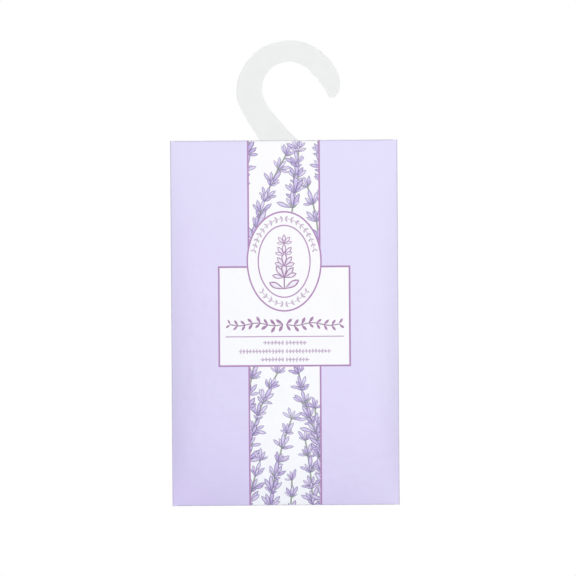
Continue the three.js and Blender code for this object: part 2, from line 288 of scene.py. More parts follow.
class GeometryTree(NodeTree):
    """A Geometry Nodes tree with an input for each size, named for it."""

    kinds = {float: "Float", int: "Int", Vector: "Vector", Piece: "Object", Material: "Material"}

    def __init__(self, name: str, sizes: type, **others: type) -> None:
        """Makes a tree with its inputs and nothing else.

        Args:
            name: Name of the tree.
            sizes: A dataclass, each field of which becomes an input.
            **others: Types of further inputs.
        """
        super().__init__(bpy.data.node_groups.new(name, "GeometryNodeTree"))
        kinds = {item.name: item.type for item in fields(sizes)} | others
        sockets = {"Geometry": "Geometry"}
        sockets |= {titled(key): self.kinds[kind] for key, kind in kinds.items()}
        for title, kind in sockets.items():
            self.tree.interface.new_socket(title, in_out="INPUT", socket_type=f"NodeSocket{kind}")
        self.tree.interface.new_socket(
            "Geometry", in_out="OUTPUT", socket_type="NodeSocketGeometry"
        )
        self.entry = self.tree.nodes.new("NodeGroupInput").outputs

    def drawn(self, low: float, high: float, salt: int) -> Socket:
        """Returns a random value between two ends, fixed by the input Seed and a salt."""
        seed = self.add(MATH, self.entry["Seed"], float(salt), operation="ADD")
        return self.add(DRAW, {DRAW_LOW: low, DRAW_HIGH: high, "Seed": seed}, out=1)

    def grow(self, source: Piece, name: str, sizes: object, **others: object) -> Piece:
        """Puts the tree on an object and turns its result into a plain mesh.

        Args:
            source: The object that takes the tree, which is removed.
            name: Name of the plain object.
            sizes: The dataclass that holds the inputs' values.
            **others: Values of the further inputs.

        Returns:
            The plain object.
        """
        modifier = source.modifiers.new(self.tree.name, "NODES")
        modifier.node_group = self.tree
        values = {titled(key): value for key, value in (vars(sizes) | others).items()}
        for item in self.tree.interface.items_tree:
            if item.in_out == "INPUT" and item.name in values:
                modifier[item.identifier] = values[item.name]
        source.update_tag()
        bpy.context.view_layer.update()
        return plain_copy(source, name)


@dataclass(frozen=True)
class PrintLayout:
    """Places and sizes of the print on the blank, in millimetres across and down."""

    band_centre: float = -0.17
    band_half: float = 18.0
    band_line: float = 0.84
    band_reach: float = 1000.0
    label_centre: Pair = (-0.2, 89.15)
    label_half: Pair = (33.02, 25.0)
    label_line: float = 0.88
    oval_centre: Pair = (-0.15, 61.4)
    outer_oval: Pair = (18.62, 25.05)
    outer_line: float = 0.78
    inner_oval: Pair = (13.08, 18.15)
    inner_line: float = 0.62
    rule_centre: Pair = (-0.1, 99.4)
    rule_half: Pair = (29.9, 0.22)
    ink_soft: float = 0.06

    def clear_of_oval(self, across: float, down: float) -> float:
        """Returns how far outside the outer oval a place is, roughly, in millimetres."""
        (x, y), (width, height) = self.oval_centre, self.outer_oval
        return (math.hypot((across - x) / width, (down - y) / height) - 1) * width

    def clear_of_label(self, across: float, down: float) -> float:
        """Returns how far outside the label a place is, in millimetres."""
        (x, y), (width, height) = self.label_centre, self.label_half
        return max(abs(across - x) - width, abs(down - y) - height)

    def inside_band(self, across: float) -> float:
        """Returns how far inside the band's lines a place is, in millimetres."""
        return self.band_half - abs(across - self.band_centre)


@dataclass(frozen=True)
class Finish:
    """A real surface: one shader, with its colour, its shine and a fine uneven relief."""

    name: str
    base: str
    roughness: float
    grain: float = 1 * MM
    height: float = 0.0
    strength: float = 0.0
    shine: tuple[tuple[str, float], ...] = ()

    def material(self) -> Material:
        """Builds the finish.

        Returns:
            The material, named for the real one.
        """
        material = bpy.data.materials.new(self.name)
        material.use_nodes = True
        nodes = NodeTree(material.node_tree)
        shader = material.node_tree.nodes["Principled BSDF"].inputs
        shader["Base Color"].default_value = to_linear(self.base)
        values = {"Base Color": self.colour(nodes), "Roughness": self.roughness, **dict(self.shine)}
        if self.strength:
            place = nodes.add("ShaderNodeTexCoord", out="Object")
            noise = nodes.add(NOISE, {"Vector": place, "Scale": 1 / self.grain, "Detail": 3.0})
            relief = {"Height": noise, "Distance": self.height, "Strength": self.strength}
            values["Normal"] = nodes.add("ShaderNodeBump", relief)
        for name, value in values.items():
            nodes.feed(shader[name], value)
        return material

    def colour(self, nodes: NodeTree) -> object:
        """Returns the base colour, or a socket that draws it with nodes of the material's tree."""
        return to_linear(self.base)

    @staticmethod
    def clouded(
        nodes: NodeTree, colour: object, size: float, share: float, detail: float = 2.0
    ) -> Socket:
        """Lays an uneven tone over a colour.

        Args:
            nodes: The material's tree.
            colour: The colour.
            size: Width of one cloud, in metres.
            share: How much lighter and darker the clouds are.
            detail: How finely they are broken up.

        Returns:
            The uneven colour.
        """
        place = nodes.add("ShaderNodeTexCoord", out="Object")
        cloud = nodes.add(NOISE, {"Vector": place, "Scale": 1 / size, "Detail": detail})
        tone = nodes.add(MAP_RANGE, {0: cloud, 3: 1 - share, 4: 1 + share})
        return nodes.add("ShaderNodeHueSaturation", {"Value": tone, "Color": colour})


@dataclass(frozen=True)
class PrintedPaper(Finish):
    """Coated paper, offset printed lilac and varnished matt: even colour with a soft low shine.

    The lilac has a light and a full tone, and so has the bare white, whose full tone is bluer. The
    full tones are painted shade, mixed in towards the foot and the left.
    """

    name: str = "coated_paper_printed"
    base: str = "#E4DFF8"
    roughness: float = 0.58
    grain: float = 0.7 * MM
    height: float = 0.02 * MM
    strength: float = 0.35
    layout: PrintLayout = PrintLayout()
    # full and the bare white's darker tone are painted shade, mixed in towards the foot and the
    # left
    full: str = "#D8CFF2"
    bare: str = "#FDFDFB"
    bare_full: str = "#F6FAFF"
    line: str = "#AE83B4"
    # Grey of the folds: partly cracked ink, partly painted shade where the paper turns away from
    # the light
    crease: str = "#ABA5BC"
    mottle_size: float = 14 * MM
    mottle_share: float = 0.012
    mottle_detail: float = 4.0
    rub_size: float = 2 * MM
    rub_detail: float = 5.0
    fold_wear: float = 0.8
    panel: Pair = (57.5, 185.0)
    # Painted shade: how much of the darker tones is mixed in, growing towards the foot and the
    # left, and most at the foot's edge
    ink_start: float = 0.037
    ink_across: float = -0.043
    ink_down: float = 0.26
    ink_corner: float = -0.257
    ink_foot: float = 0.49
    ink_foot_power: float = 4.0

    def colour(self, nodes: NodeTree) -> Socket:
        """Draws the ground, the band, the label and the oval from a place on the blank.

        Args:
            nodes: The material's tree.

        Returns:
            The print's colour.
        """
        layout, line = self.layout, to_linear(self.line)
        soft = layout.ink_soft
        blank = nodes.add("ShaderNodeAttribute", attribute_name=BLANK, out="Vector")
        # ink is the share of painted shade, darker towards the foot and the left
        ink = self._ink(nodes, blank)
        ground, bare = (
            nodes.add(MIX, {0: ink, MIX_A: to_linear(a), MIX_B: to_linear(b)}, **COLOUR_MIX)
            for a, b in ((self.base, self.full), (self.bare, self.bare_full))
        )
        band = (layout.band_centre, 0), (layout.band_half, layout.band_reach)
        label = layout.label_centre, layout.label_half
        rule = layout.rule_centre, layout.rule_half
        shapes = (
            (self._box(nodes, blank, *band), bare, layout.band_line),
            (self._box(nodes, blank, *label), bare, layout.label_line),
            (self._box(nodes, blank, *rule), line, 0.0),
            (self._oval(nodes, blank, layout.outer_oval), bare, layout.outer_line),
            (self._oval(nodes, blank, layout.inner_oval), bare, layout.inner_line),
        )
        colour = ground
        for distance, fill, width in shapes:
            layers = [(distance, 0.0, fill)]
            if width:
                off_line = nodes.add(MATH, distance, operation="ABSOLUTE")
                layers.append((off_line, width / 2, line))
            for away, edge, tone in layers:
                drawn = nodes.add(MAP_RANGE, away, edge + soft, edge - soft)
                colour = nodes.add(MIX, {0: drawn, MIX_A: colour, MIX_B: tone}, **COLOUR_MIX)
        return self._aged(nodes, colour)

    def _ink(self, nodes: NodeTree, blank: Socket) -> Socket:
        """Measures the share of painted shade: the print darkens towards the foot and the left, and
        most near the foot.

        A folded part has the tone of the part that it lies behind, so the back has no steps.

        Args:
            nodes: The material's tree.
            blank: The place on the blank.

        Returns:
            The share of painted shade, from 0 to about 1.
        """
        panel = nodes.add(VECTOR_MATH, blank, (*self.panel, 1), operation="DIVIDE")
        x, y, _ = nodes.add(SPLIT, panel).node.outputs
        shifted = nodes.add(MATH, x, 1.0, operation="ADD")
        folded = nodes.add(MATH, shifted, 2.0, operation="PINGPONG")
        beside = nodes.add(MATH, folded, 1.0, operation="SUBTRACT")
        down = nodes.add(MATH, y, 1.0, operation="PINGPONG")
        foot = nodes.add(MATH, down, self.ink_foot_power, operation="POWER")
        across = nodes.add(
            MATH, down, self.ink_corner, self.ink_across, operation="MULTIPLY_ADD"
        )
        ink: object = self.ink_start
        for term, share in ((down, self.ink_down), (foot, self.ink_foot), (beside, across)):
            ink = nodes.add(MATH, term, share, ink, operation="MULTIPLY_ADD")
        return ink

    def _aged(self, nodes: NodeTree, colour: Socket) -> Socket:
        """Lays an uneven tone over the print, and greys it along the folds: partly ink cracked
        there, partly painted shade where the paper turns away from the light.

        Args:
            nodes: The material's tree.
            colour: The print's colour.

        Returns:
            The mottled colour, greyed along the folds.
        """
        toned = self.clouded(nodes, colour, self.mottle_size, self.mottle_share, self.mottle_detail)
        fold = nodes.add("ShaderNodeAttribute", attribute_name=FOLD, out="Fac")
        place = nodes.add("ShaderNodeTexCoord", out="Object")
        rub = {"Vector": place, "Scale": 1 / self.rub_size, "Detail": self.rub_detail}
        # Painted shade and cracked ink along the folds, broken up by a fine noise
        broken_fold_line = nodes.add(MATH, fold, nodes.add(NOISE, rub), operation="MULTIPLY")
        worn_and_shaded = nodes.add(MATH, broken_fold_line, self.fold_wear, operation="MULTIPLY")
        cracked_and_shaded = {0: worn_and_shaded, MIX_A: toned, MIX_B: to_linear(self.crease)}
        return nodes.add(MIX, cracked_and_shaded, **COLOUR_MIX)

    @staticmethod
    def _box(nodes: NodeTree, blank: Socket, centre: Pair, half: Pair) -> Socket:
        """Measures how far a place is outside a rectangle.

        Args:
            nodes: The material's tree.
            blank: The place on the blank.
            centre: Middle of the rectangle.
            half: Half of its width and height.

        Returns:
            The distance in millimetres, negative inside.
        """
        offset = nodes.add(VECTOR_MATH, blank, (*centre, 0), operation="SUBTRACT")
        away = nodes.add(VECTOR_MATH, offset, operation="ABSOLUTE")
        x, y, _ = nodes.add(
            SPLIT, nodes.add(VECTOR_MATH, away, (*half, 0), operation="SUBTRACT")
        ).node.outputs
        return nodes.add(MATH, x, y, operation="MAXIMUM")

    def _oval(self, nodes: NodeTree, blank: Socket, radii: Pair) -> Socket:
        """Measures how far a place is outside an oval, closely near its edge.

        Args:
            nodes: The material's tree.
            blank: The place on the blank.
            radii: Half of the oval's width and height.

        Returns:
            The distance in millimetres, negative inside.
        """
        centre = (*self.layout.oval_centre, 0)
        offset = nodes.add(VECTOR_MATH, blank, centre, operation="SUBTRACT")
        scaled = nodes.add(VECTOR_MATH, offset, (*radii, 1), operation="DIVIDE")
        steep = nodes.add(VECTOR_MATH, scaled, (*radii, 1), operation="DIVIDE")
        reach, slope = (
            nodes.add(VECTOR_MATH, vector, operation="LENGTH", out="Value")
            for vector in (scaled, steep)
        )
        beyond = nodes.add(MATH, reach, 1.0, operation="SUBTRACT")
        local = nodes.add(MATH, reach, slope, operation="DIVIDE")
        return nodes.add(MATH, beyond, local, operation="MULTIPLY")


@dataclass(frozen=True)
class PlainPaper(Finish):
    """The unprinted inner face and cut edges of the coated paper: chalky white and dull."""

    name: str = "coated_paper_bare"
    base: str = "#F4F2EC"
    roughness: float = 0.8
    grain: float = 0.6 * MM
    height: float = 0.02 * MM
    strength: float = 0.4


class Ink(Enum):
    """Printing inks, each with its full and its thin colour."""

    FLORET = ("#BDABDD", "#ECE7F7")
    OUTLINE = ("#746793", "#A295BE")
    STALK = ("#8F9C8C", "#B4BDB0")
    STALK_EDGE = ("#7A8A7A", "#97A394")
    PLUM = ("#9C769F", "#AD88AF")
    PLUM_SOFT = ("#C0AEC3", "#CEBFD1")
    PLUM_TINT = ("#EDE5F2", "#F8F5FB")


@dataclass(frozen=True)
class OffsetInk(Finish):
    """Offset printing ink on coated paper: thin, slightly uneven in strength, and satin."""

    roughness: float = 0.5
    thin: str = "#FFFFFF"
    cloud_size: float = 2.2 * MM
    cloud_share: float = 0.3
    root: Pair = (0.1, 0.8)
    root_share: float = 0.45

    def colour(self, nodes: NodeTree) -> Socket:
        """Mixes the ink: fuller at a petal's root, by its motif's tint and by a fine cloud.

        Args:
            nodes: The material's tree.

        Returns:
            The ink's colour.
        """
        tint, along = (
            nodes.add("ShaderNodeAttribute", attribute_name=name, out="Fac")
            for name in (TINT, ALONG)
        )
        place = nodes.add("ShaderNodeTexCoord", out="Object")
        cloud = nodes.add(NOISE, {"Vector": place, "Scale": 1 / self.cloud_size})
        root = nodes.add(MAP_RANGE, along, *self.root, self.root_share, 0.0)
        clouded = nodes.add(MATH, cloud, self.cloud_share, tint, operation="MULTIPLY_ADD")
        strength = nodes.add(MATH, clouded, root, operation="ADD")
        tones = {0: strength, MIX_A: to_linear(self.thin), MIX_B: to_linear(self.base)}
        return nodes.add(MIX, tones, **COLOUR_MIX)


@dataclass(frozen=True)
class FrostedFilm(Finish):
    """Polypropylene film with an embossed frosted face: milky, even, with a broad soft shine.

    The emboss is drawn coarser than real, because it would not show.
    """

    name: str = "polypropylene_frosted"
    base: str = "#F1F3EF"
    roughness: float = 0.5
    grain: float = 0.5 * MM
    height: float = 0.015 * MM
    strength: float = 0.4
    shine: tuple[tuple[str, float], ...] = (("Transmission Weight", 0.12), ("IOR", 1.49))
    milk_size: float = 9 * MM
    milk_share: float = 0.015

    def colour(self, nodes: NodeTree) -> Socket:
        """Returns the film's milky white, drawn with nodes of the material's tree."""
        return self.clouded(nodes, to_linear(self.base), self.milk_size, self.milk_share)


@dataclass(frozen=True)
class DriedPaste(Finish):
    """Dried vinyl paste: yellowish, half clear, and uneven where it was rolled on."""

    name: str = "vinyl_paste_dried"
    base: str = "#EFE8D2"
    roughness: float = 0.42
    grain: float = 1.6 * MM
    height: float = 0.04 * MM
    strength: float = 0.6
    shine: tuple[tuple[str, float], ...] = (("Transmission Weight", 0.15),)


@dataclass(frozen=True)
class TransferTape(Finish):
    """Double-sided tissue tape: a white fibrous core with a clear shiny coat."""

    name: str = "tissue_tape"
    base: str = "#F2F2EE"
    roughness: float = 0.35
    grain: float = 0.9 * MM
    height: float = 0.03 * MM
    strength: float = 0.5
    shine: tuple[tuple[str, float], ...] = (("Coat Weight", 0.3),)


@dataclass(frozen=True)
class Vermiculite(Finish):
    """Expanded vermiculite: layered golden-brown grains with a weak mica glint."""

    name: str = "expanded_vermiculite"
    base: str = "#8E6F45"
    roughness: float = 0.55
    shine: tuple[tuple[str, float], ...] = (("Specular IOR Level", 0.7),)
    pale: str = "#CDB083"
    layer: float = 10 * MM
    layer_share: float = 0.4

    def colour(self, nodes: NodeTree) -> Socket:
        """Draws a tone for each grain, and bands for its layers, coarser than the real sheets.

        Args:
            nodes: The material's tree.

        Returns:
            The mineral's colour.
        """
        tint = nodes.add("ShaderNodeAttribute", attribute_name=TINT, out="Fac")
        place = nodes.add("ShaderNodeTexCoord", out="Object")
        bands = {"Vector": place, "Scale": 1 / self.layer, "Distortion": 4.0, "Detail": 2.0}
        sheets = nodes.add("ShaderNodeTexWave", bands, out="Fac")
        strength = nodes.add(MATH, sheets, self.layer_share, tint, operation="MULTIPLY_ADD")
        tones = {0: strength, MIX_A: to_linear(self.pale), MIX_B: to_linear(self.base)}
        return nodes.add(MIX, tones, **COLOUR_MIX)


class Zone(Enum):
    """Parts of the folded blank."""

    LEFT_WING = auto()
    LEFT_FOLD = auto()
    FRONT = auto()
    RIGHT_FOLD = auto()
    RIGHT_WING = auto()
    BOTTOM_FLAP = auto()
    BOTTOM_FOLD = auto()
    PANEL = auto()
    TOP_FOLD = auto()
    TOP_FLAP = auto()


FLAPS = (Zone.BOTTOM_FLAP, Zone.TOP_FLAP)
TURNED = (Zone.LEFT_FOLD, Zone.RIGHT_FOLD, Zone.BOTTOM_FOLD, Zone.TOP_FOLD)


@dataclass(frozen=True)
class Place:
    """A column or a row of the blank: its zone, its place there, and its turn round a fold."""

    zone: Zone
    at: float
    turn: float = 0.0


@dataclass(frozen=True)
class Swell:
    """How the filling swells the paper. The grains settle, so the front is fullest low down."""

    head: Vector
    half_width: float
    foot: float
    panel_height: float
    header_height: float = 36 * MM
    front_swell: float = 5.2 * MM
    back_swell: float = 4.6 * MM
    back_flat_depth: float = 3.7 * MM
    back_softness: float = 0.8 * MM
    across_power: float = 8.0
    foot_power: float = 0.65
    head_power: float = 1.2
    settled_across_power: float = 7.0
    settled_reach: float = 0.45
    settled_bulge: float = 4.5
    settled_head_power: float = 0.69
    grain_size: float = 4.6 * MM
    grain_height: float = 0.3 * MM
    dent_size: float = 15 * MM
    dent_depth: float = 1.35 * MM

    def peak(self) -> float:
        """Returns the greatest fullness of the back before it is scaled to 1."""
        share = self.foot_power / (self.foot_power + self.head_power)
        return share**self.foot_power * (1 - share) ** self.head_power

    def settled_peak(self, steps: int = 1000) -> float:
        """Finds the greatest fullness of the front before it is scaled to 1.

        Args:
            steps: How many heights are tried.

        Returns:
            The fullness.
        """
        return max(
            (1 - (1 - min(share / self.settled_reach, 1)) ** self.settled_bulge)
            * (1 - share) ** self.settled_head_power
            for share in (step / steps for step in range(steps + 1))
        )


class SwellTree(GeometryTree):
    """Swells a flat folded sheet into a filled pouch: a rule moves each point along Y."""

    pressed = (0.12, 0.6)
    grain_middle = 0.45
    grain_softness = 0.35
    dent_detail = 3.0
    dent_roughness = 0.62

    def __init__(self) -> None:
        """Builds the rule: fullness across times fullness up, with grains and dents on it."""
        super().__init__("Pouch swell", Swell, peak=float, settled_peak=float)
        add, entry = self.add, self.entry
        position = add("GeometryNodeInputPosition")
        x, _, z = add(
            SPLIT, add(VECTOR_MATH, position, entry["Head"], operation="SUBTRACT")
        ).node.outputs
        up = add(MATH, z, entry["Foot"], operation="SUBTRACT")
        behind = add(MATH, entry["Panel height"], entry["Header height"], operation="SUBTRACT")
        share, share_behind = (
            add(MATH, up, height, operation="DIVIDE", use_clamp=True)
            for height in (entry["Panel height"], behind)
        )
        across, across_behind = self._across(x, "Settled across power"), self._across(x)
        body = add(MATH, across, self._settled(share), operation="MULTIPLY")
        body_behind = add(MATH, across_behind, self._full(share_behind), operation="MULTIPLY")
        relief = add(
            MATH,
            self._relief(add(JOIN, {0: x, 2: z})),
            add(MAP_RANGE, body, *self.pressed),
            operation="MULTIPLY",
        )
        swell = add(MATH, body, entry["Front swell"], operation="MULTIPLY")
        front = add(MATH, swell, relief, operation="ADD")
        swell = add(MATH, body_behind, entry["Back swell"], operation="MULTIPLY")
        back = add(
            MATH, swell, entry["Back flat depth"], entry["Back softness"], operation="SMOOTH_MIN"
        )
        forward, backward = (
            add(MATH, depth, add(READ, name), operation="MULTIPLY")
            for depth, name in ((front, "front"), (back, "back"))
        )
        shift = add(JOIN, {1: add(MATH, backward, forward, operation="SUBTRACT")})
        moved = {"Geometry": entry["Geometry"], "Offset": shift}
        add("NodeGroupOutput", add("GeometryNodeSetPosition", moved))

    def _across(self, across: Socket, power: str = "Across power") -> Socket:
        """Works out the fullness across the pouch.

        Args:
            across: Distance from the pouch's middle.
            power: Name of the input that says how square the fullness is.

        Returns:
            The fullness, 1 in the middle and 0 at the side folds.
        """
        share = self.add(MATH, across, self.entry["Half width"], operation="DIVIDE")
        away = self.add(MATH, share, operation="ABSOLUTE", use_clamp=True)
        lost = self.add(MATH, away, self.entry[power], operation="POWER")
        return self.add(MATH, 1.0, lost, operation="SUBTRACT")

    def _full(self, share: Socket) -> Socket:
        """Works out the back's fullness up the pouch.

        Args:
            share: Share of the height.

        Returns:
            The fullness, 0 at both ends and 1 at the fullest place.
        """
        left = self.add(MATH, 1.0, share, operation="SUBTRACT")
        rise = self.add(MATH, share, self.entry["Foot power"], operation="POWER")
        fall = self.add(MATH, left, self.entry["Head power"], operation="POWER")
        product = self.add(MATH, rise, fall, operation="MULTIPLY")
        return self.add(MATH, product, self.entry["Peak"], operation="DIVIDE")

    def _settled(self, share: Socket) -> Socket:
        """Works out the front's fullness up the pouch, over settled grains.

        Args:
            share: Share of the height.

        Returns:
            The fullness, 0 at both ends and 1 at the fullest place, which is low down.
        """
        add, entry = self.add, self.entry
        climb = add(MATH, share, entry["Settled reach"], operation="DIVIDE", use_clamp=True)
        left = add(MATH, 1.0, climb, operation="SUBTRACT")
        lost = add(MATH, left, entry["Settled bulge"], operation="POWER")
        rise = add(MATH, 1.0, lost, operation="SUBTRACT")
        above = add(MATH, 1.0, share, operation="SUBTRACT")
        fall = add(MATH, above, entry["Settled head power"], operation="POWER")
        product = add(MATH, rise, fall, operation="MULTIPLY")
        return add(MATH, product, entry["Settled peak"], operation="DIVIDE")

    def _relief(self, flat: Socket) -> Socket:
        """Works out the height of single grains and soft dents.

        Args:
            flat: The place, with no depth.

        Returns:
            The height that they add.
        """
        grains, dents = (
            {"Vector": flat, "Scale": self.add(MATH, 1.0, self.entry[name], operation="DIVIDE")}
            for name in ("Grain size", "Dent size")
        )
        grains |= {"Smoothness": self.grain_softness}
        dents |= {"Detail": self.dent_detail, "Roughness": self.dent_roughness}
        grain = self.add("ShaderNodeTexVoronoi", grains, feature="SMOOTH_F1")
        raised = self.add(MATH, self.grain_middle, grain, operation="SUBTRACT")
        dented = self.add(MATH, self.add(NOISE, dents), 0.5, operation="SUBTRACT")
        heights = (
            self.add(MATH, form, self.entry[name], operation="MULTIPLY")
            for form, name in ((raised, "Grain height"), (dented, "Dent depth"))
        )
        return self.add(MATH, *heights, operation="ADD")


@dataclass
class Envelope:
    """The paper: one die-cut blank with a front panel, two wings behind it and two flaps.

    Heights of the folds' axes, foot_z and head_z, are measured from the pouch's head.
    """

    paper: float = 0.2 * MM
    solid_paper: float = 0.25 * MM
    fold_radius: float = 0.45 * MM
    layer_step: float = 0.85 * MM
    contact_step: float = 0.24 * MM
    seam_half: float = 7 * MM
    seam_ramp: float = 5 * MM
    seam_paste_half: float = 4.2 * MM
    flap_side_inset: float = 1.5 * MM
    flap_notch: float = 0.3 * MM
    flap_end_inset: float = 9 * MM
    top_flap: float = 30 * MM
    bottom_flap: float = 24 * MM
    flap_lip: float = 2.8 * MM
    bridge_half: float = 14 * MM
    bridge_ramp: float = 9 * MM
    bridge_fade: float = 4 * MM
    cell: float = 1.3 * MM
    fold_steps: int = 6
    sharpest: float = 50 * DEGREE
    low: Vector = field(init=False)
    head: Vector = field(init=False)
    height: float = field(init=False)
    side: float = field(init=False)
    foot_z: float = field(init=False)
    head_z: float = field(init=False)
    flap_side: float = field(init=False)

    def __post_init__(self) -> None:
        """Takes the pouch's place and size from the frame."""
        self.low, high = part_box("paper_envelope")
        tape_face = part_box("hook_tape")[0].y
        flap_face = self.fold_radius + 2 * self.layer_step + self.solid_paper / 2
        self.head = Vector(((self.low.x + high.x) / 2, tape_face - flap_face, high.z))
        self.height = high.z - self.low.z
        self.side = (high.x - self.low.x) / 2 - self.solid_paper / 2 - self.fold_radius
        self.foot_z = -self.height + self.solid_paper / 2 + self.fold_radius
        self.head_z = -self.solid_paper / 2 - self.fold_radius
        self.flap_side = self.side - self.flap_side_inset

    def build(self, printed: Material, bare: Material) -> Piece:
        """Builds the paper and dresses it.

        Args:
            printed: Finish of the outer face.
            bare: Finish of the inner face and the cut edges.

        Returns:
            The finished piece, which rides on the pouch.
        """
        swell = Swell(self.head, self.side, self.foot_z, self.head_z - self.foot_z)
        peaks = {"peak": swell.peak(), "settled_peak": swell.settled_peak()}
        swollen = SwellTree().grow(self._flat_sheet(), "swollen_sheet", swell, **peaks)
        swollen.data.materials.clear()
        for material in (printed, bare):
            swollen.data.materials.append(material)
        wall = swollen.modifiers.new("Paper", "SOLIDIFY")
        wall.thickness = self.paper
        wall.offset = 0.0
        wall.material_offset = 1
        wall.material_offset_rim = 1
        piece = plain_copy(swollen, "printed_envelope")
        piece.data.shade_smooth()
        piece.data.set_sharp_from_angle(angle=self.sharpest)
        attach(piece, "pouch")
        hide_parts("paper_envelope")
        report(piece)
        return piece

    def _columns(self) -> list[Place]:
        """Lays out the blank's columns.

        Returns:
            The columns from the left wing's free edge to the right wing's.
        """
        ramp = self.seam_half + self.seam_ramp
        corner = self.flap_side + self.flap_notch
        half = (self.seam_paste_half, self.seam_half, ramp, self.flap_side, corner)
        kept = [sign * place for place in half for sign in (-1, 1)]
        left = spread_places(-self.side, self.seam_half, self.cell, kept)
        front = spread_places(-self.side, self.side, self.cell, [0.0, *kept])
        right = spread_places(-self.seam_half, self.side, self.cell, kept)
        return [
            *(Place(Zone.LEFT_WING, x) for x in reversed(left)),
            *(Place(Zone.LEFT_FOLD, -self.side, turn) for turn in reversed(self._turns())),
            *(Place(Zone.FRONT, x) for x in front),
            *(Place(Zone.RIGHT_FOLD, self.side, turn) for turn in self._turns()),
            *(Place(Zone.RIGHT_WING, x) for x in reversed(right)),
        ]

    def _rows(self) -> list[Place]:
        """Lays out the blank's rows.

        Returns:
            The rows from the bottom flap's free edge to the top flap's.
        """
        bottom_end = self.foot_z + self.bottom_flap
        top_end = self.head_z - self.top_flap
        kept = [bottom_end, bottom_end - self.flap_lip, top_end, top_end + self.flap_lip]
        panel = spread_places(self.foot_z, self.head_z, self.cell, kept)
        bottom = [z for z in panel if z <= bottom_end + self.contact_step]
        top = [z for z in panel if z >= top_end - self.contact_step]
        return [
            *(Place(Zone.BOTTOM_FLAP, z) for z in reversed(bottom)),
            *(Place(Zone.BOTTOM_FOLD, self.foot_z, turn) for turn in reversed(self._turns())),
            *(Place(Zone.PANEL, z) for z in panel),
            *(Place(Zone.TOP_FOLD, self.head_z, turn) for turn in self._turns()),
            *(Place(Zone.TOP_FLAP, z) for z in reversed(top)),
        ]

    def _turns(self) -> list[float]:
        """Returns the inner angles of a fold, from one side of the sheet to the other."""
        return [math.pi * (step / self.fold_steps - 0.5) for step in range(1, self.fold_steps)]

    def _flat_sheet(self) -> Piece:
        """Builds the folded sheet as it is before it is filled, one face thick.

        Returns:
            A mesh with each point's place on the blank and its share of the swell.
        """
        columns, rows = self._columns(), self._rows()
        numbers: dict[tuple[int, int], int] = {}
        faces = []
        for i, j in itertools.product(range(len(columns) - 1), range(len(rows) - 1)):
            if self._has_cell(columns[i], columns[i + 1], rows[j], rows[j + 1]):
                corners = ((i, j), (i + 1, j), (i + 1, j + 1), (i, j + 1))
                faces.append(tuple(numbers.setdefault(key, len(numbers)) for key in corners))
        places = [(columns[i], rows[j]) for i, j in numbers]
        points = [self.head + self._folded(column, row) for column, row in places]
        sheet = mesh_object("flat_sheet", points, faces)
        layer = sheet.data.attributes.new(BLANK, "FLOAT_VECTOR", "POINT")
        blanks = itertools.chain.from_iterable(self._blank(*place) for place in places)
        layer.data.foreach_set("vector", list(blanks))
        moves = zip(*(self._moves(column, row) for column, row in places))
        for name, shares in zip(("front", "back", FOLD), moves):
            store_numbers(sheet, name, "POINT", shares)
        return sheet

    def _has_cell(self, left: Place, right: Place, low: Place, high: Place) -> bool:
        """Tells whether the blank has paper in a cell: flaps hang on the front panel only.

        Args:
            left: Column at the cell's left.
            right: Column at its right.
            low: Row at its foot.
            high: Row at its head.

        Returns:
            Whether there is paper.
        """
        if low.zone is Zone.PANEL and high.zone is Zone.PANEL:
            return True
        on_front = left.zone is Zone.FRONT and right.zone is Zone.FRONT
        return on_front and not (self._is_corner(left) or self._is_corner(right))

    def _is_corner(self, column: Place) -> bool:
        """Returns whether a column lies beside the flaps, where the panel ends in a cut edge."""
        return abs(column.at) > self.flap_side + self.flap_notch / 2

    def _seam_rise(self, x: float) -> float:
        """Returns how far the overlap of the wings lifts a flap."""
        reach = self.seam_half + self.seam_ramp - abs(x)
        return self.layer_step * eased(reach / self.seam_ramp)

    def _bridge_rise(self, x: float, distance: float) -> float:
        """Works out how far the top flap bridges the room beside the overlap, under the film.

        Args:
            x: Place across.
            distance: Distance from the head fold.

        Returns:
            The flap's rise.
        """
        beside = (self.bridge_half + self.bridge_ramp - abs(x)) / self.bridge_ramp
        below = (self.top_flap - distance) / self.bridge_fade
        return self.layer_step * eased(min(beside, below))

    def _wing_rise(self, x: float) -> float:
        """Works out how far the right wing stands above the left one, down to its edge.

        Args:
            x: Place across.

        Returns:
            The wing's rise.
        """
        climb = self.layer_step * eased((self.seam_half + self.seam_ramp - x) / self.seam_ramp)
        lip = eased((-self.seam_paste_half - x) / (self.seam_half - self.seam_paste_half))
        return climb - (self.layer_step - self.contact_step) * lip

    def _flap_place(self, x: float, z: float) -> Pair:
        """Finds where a point of a flap lies behind the pouch.

        Args:
            x: The point's column on the blank.
            z: Its height.

        Returns:
            Its place across and its lift above the wings.
        """
        is_bottom = z < (self.foot_z + self.head_z) / 2
        length = self.bottom_flap if is_bottom else self.top_flap
        distance = z - self.foot_z if is_bottom else self.head_z - z
        straight = self.seam_half + self.seam_ramp
        beyond = max(abs(x) - straight, 0.0)
        drawn_in = self.flap_end_inset / (self.flap_side - straight) * distance / length
        placed = math.copysign(min(abs(x), straight) + beyond * (1 - drawn_in), x)
        side_room = (self.flap_side - abs(x)) / self.flap_lip
        end_room = (length - distance) / self.flap_lip
        lifted = eased(min(side_room, end_room))
        lift = self.contact_step + (self.layer_step - self.contact_step) * lifted
        bridge = 0.0 if is_bottom else self._bridge_rise(placed, distance)
        return placed, lift + max(self._seam_rise(placed), bridge)

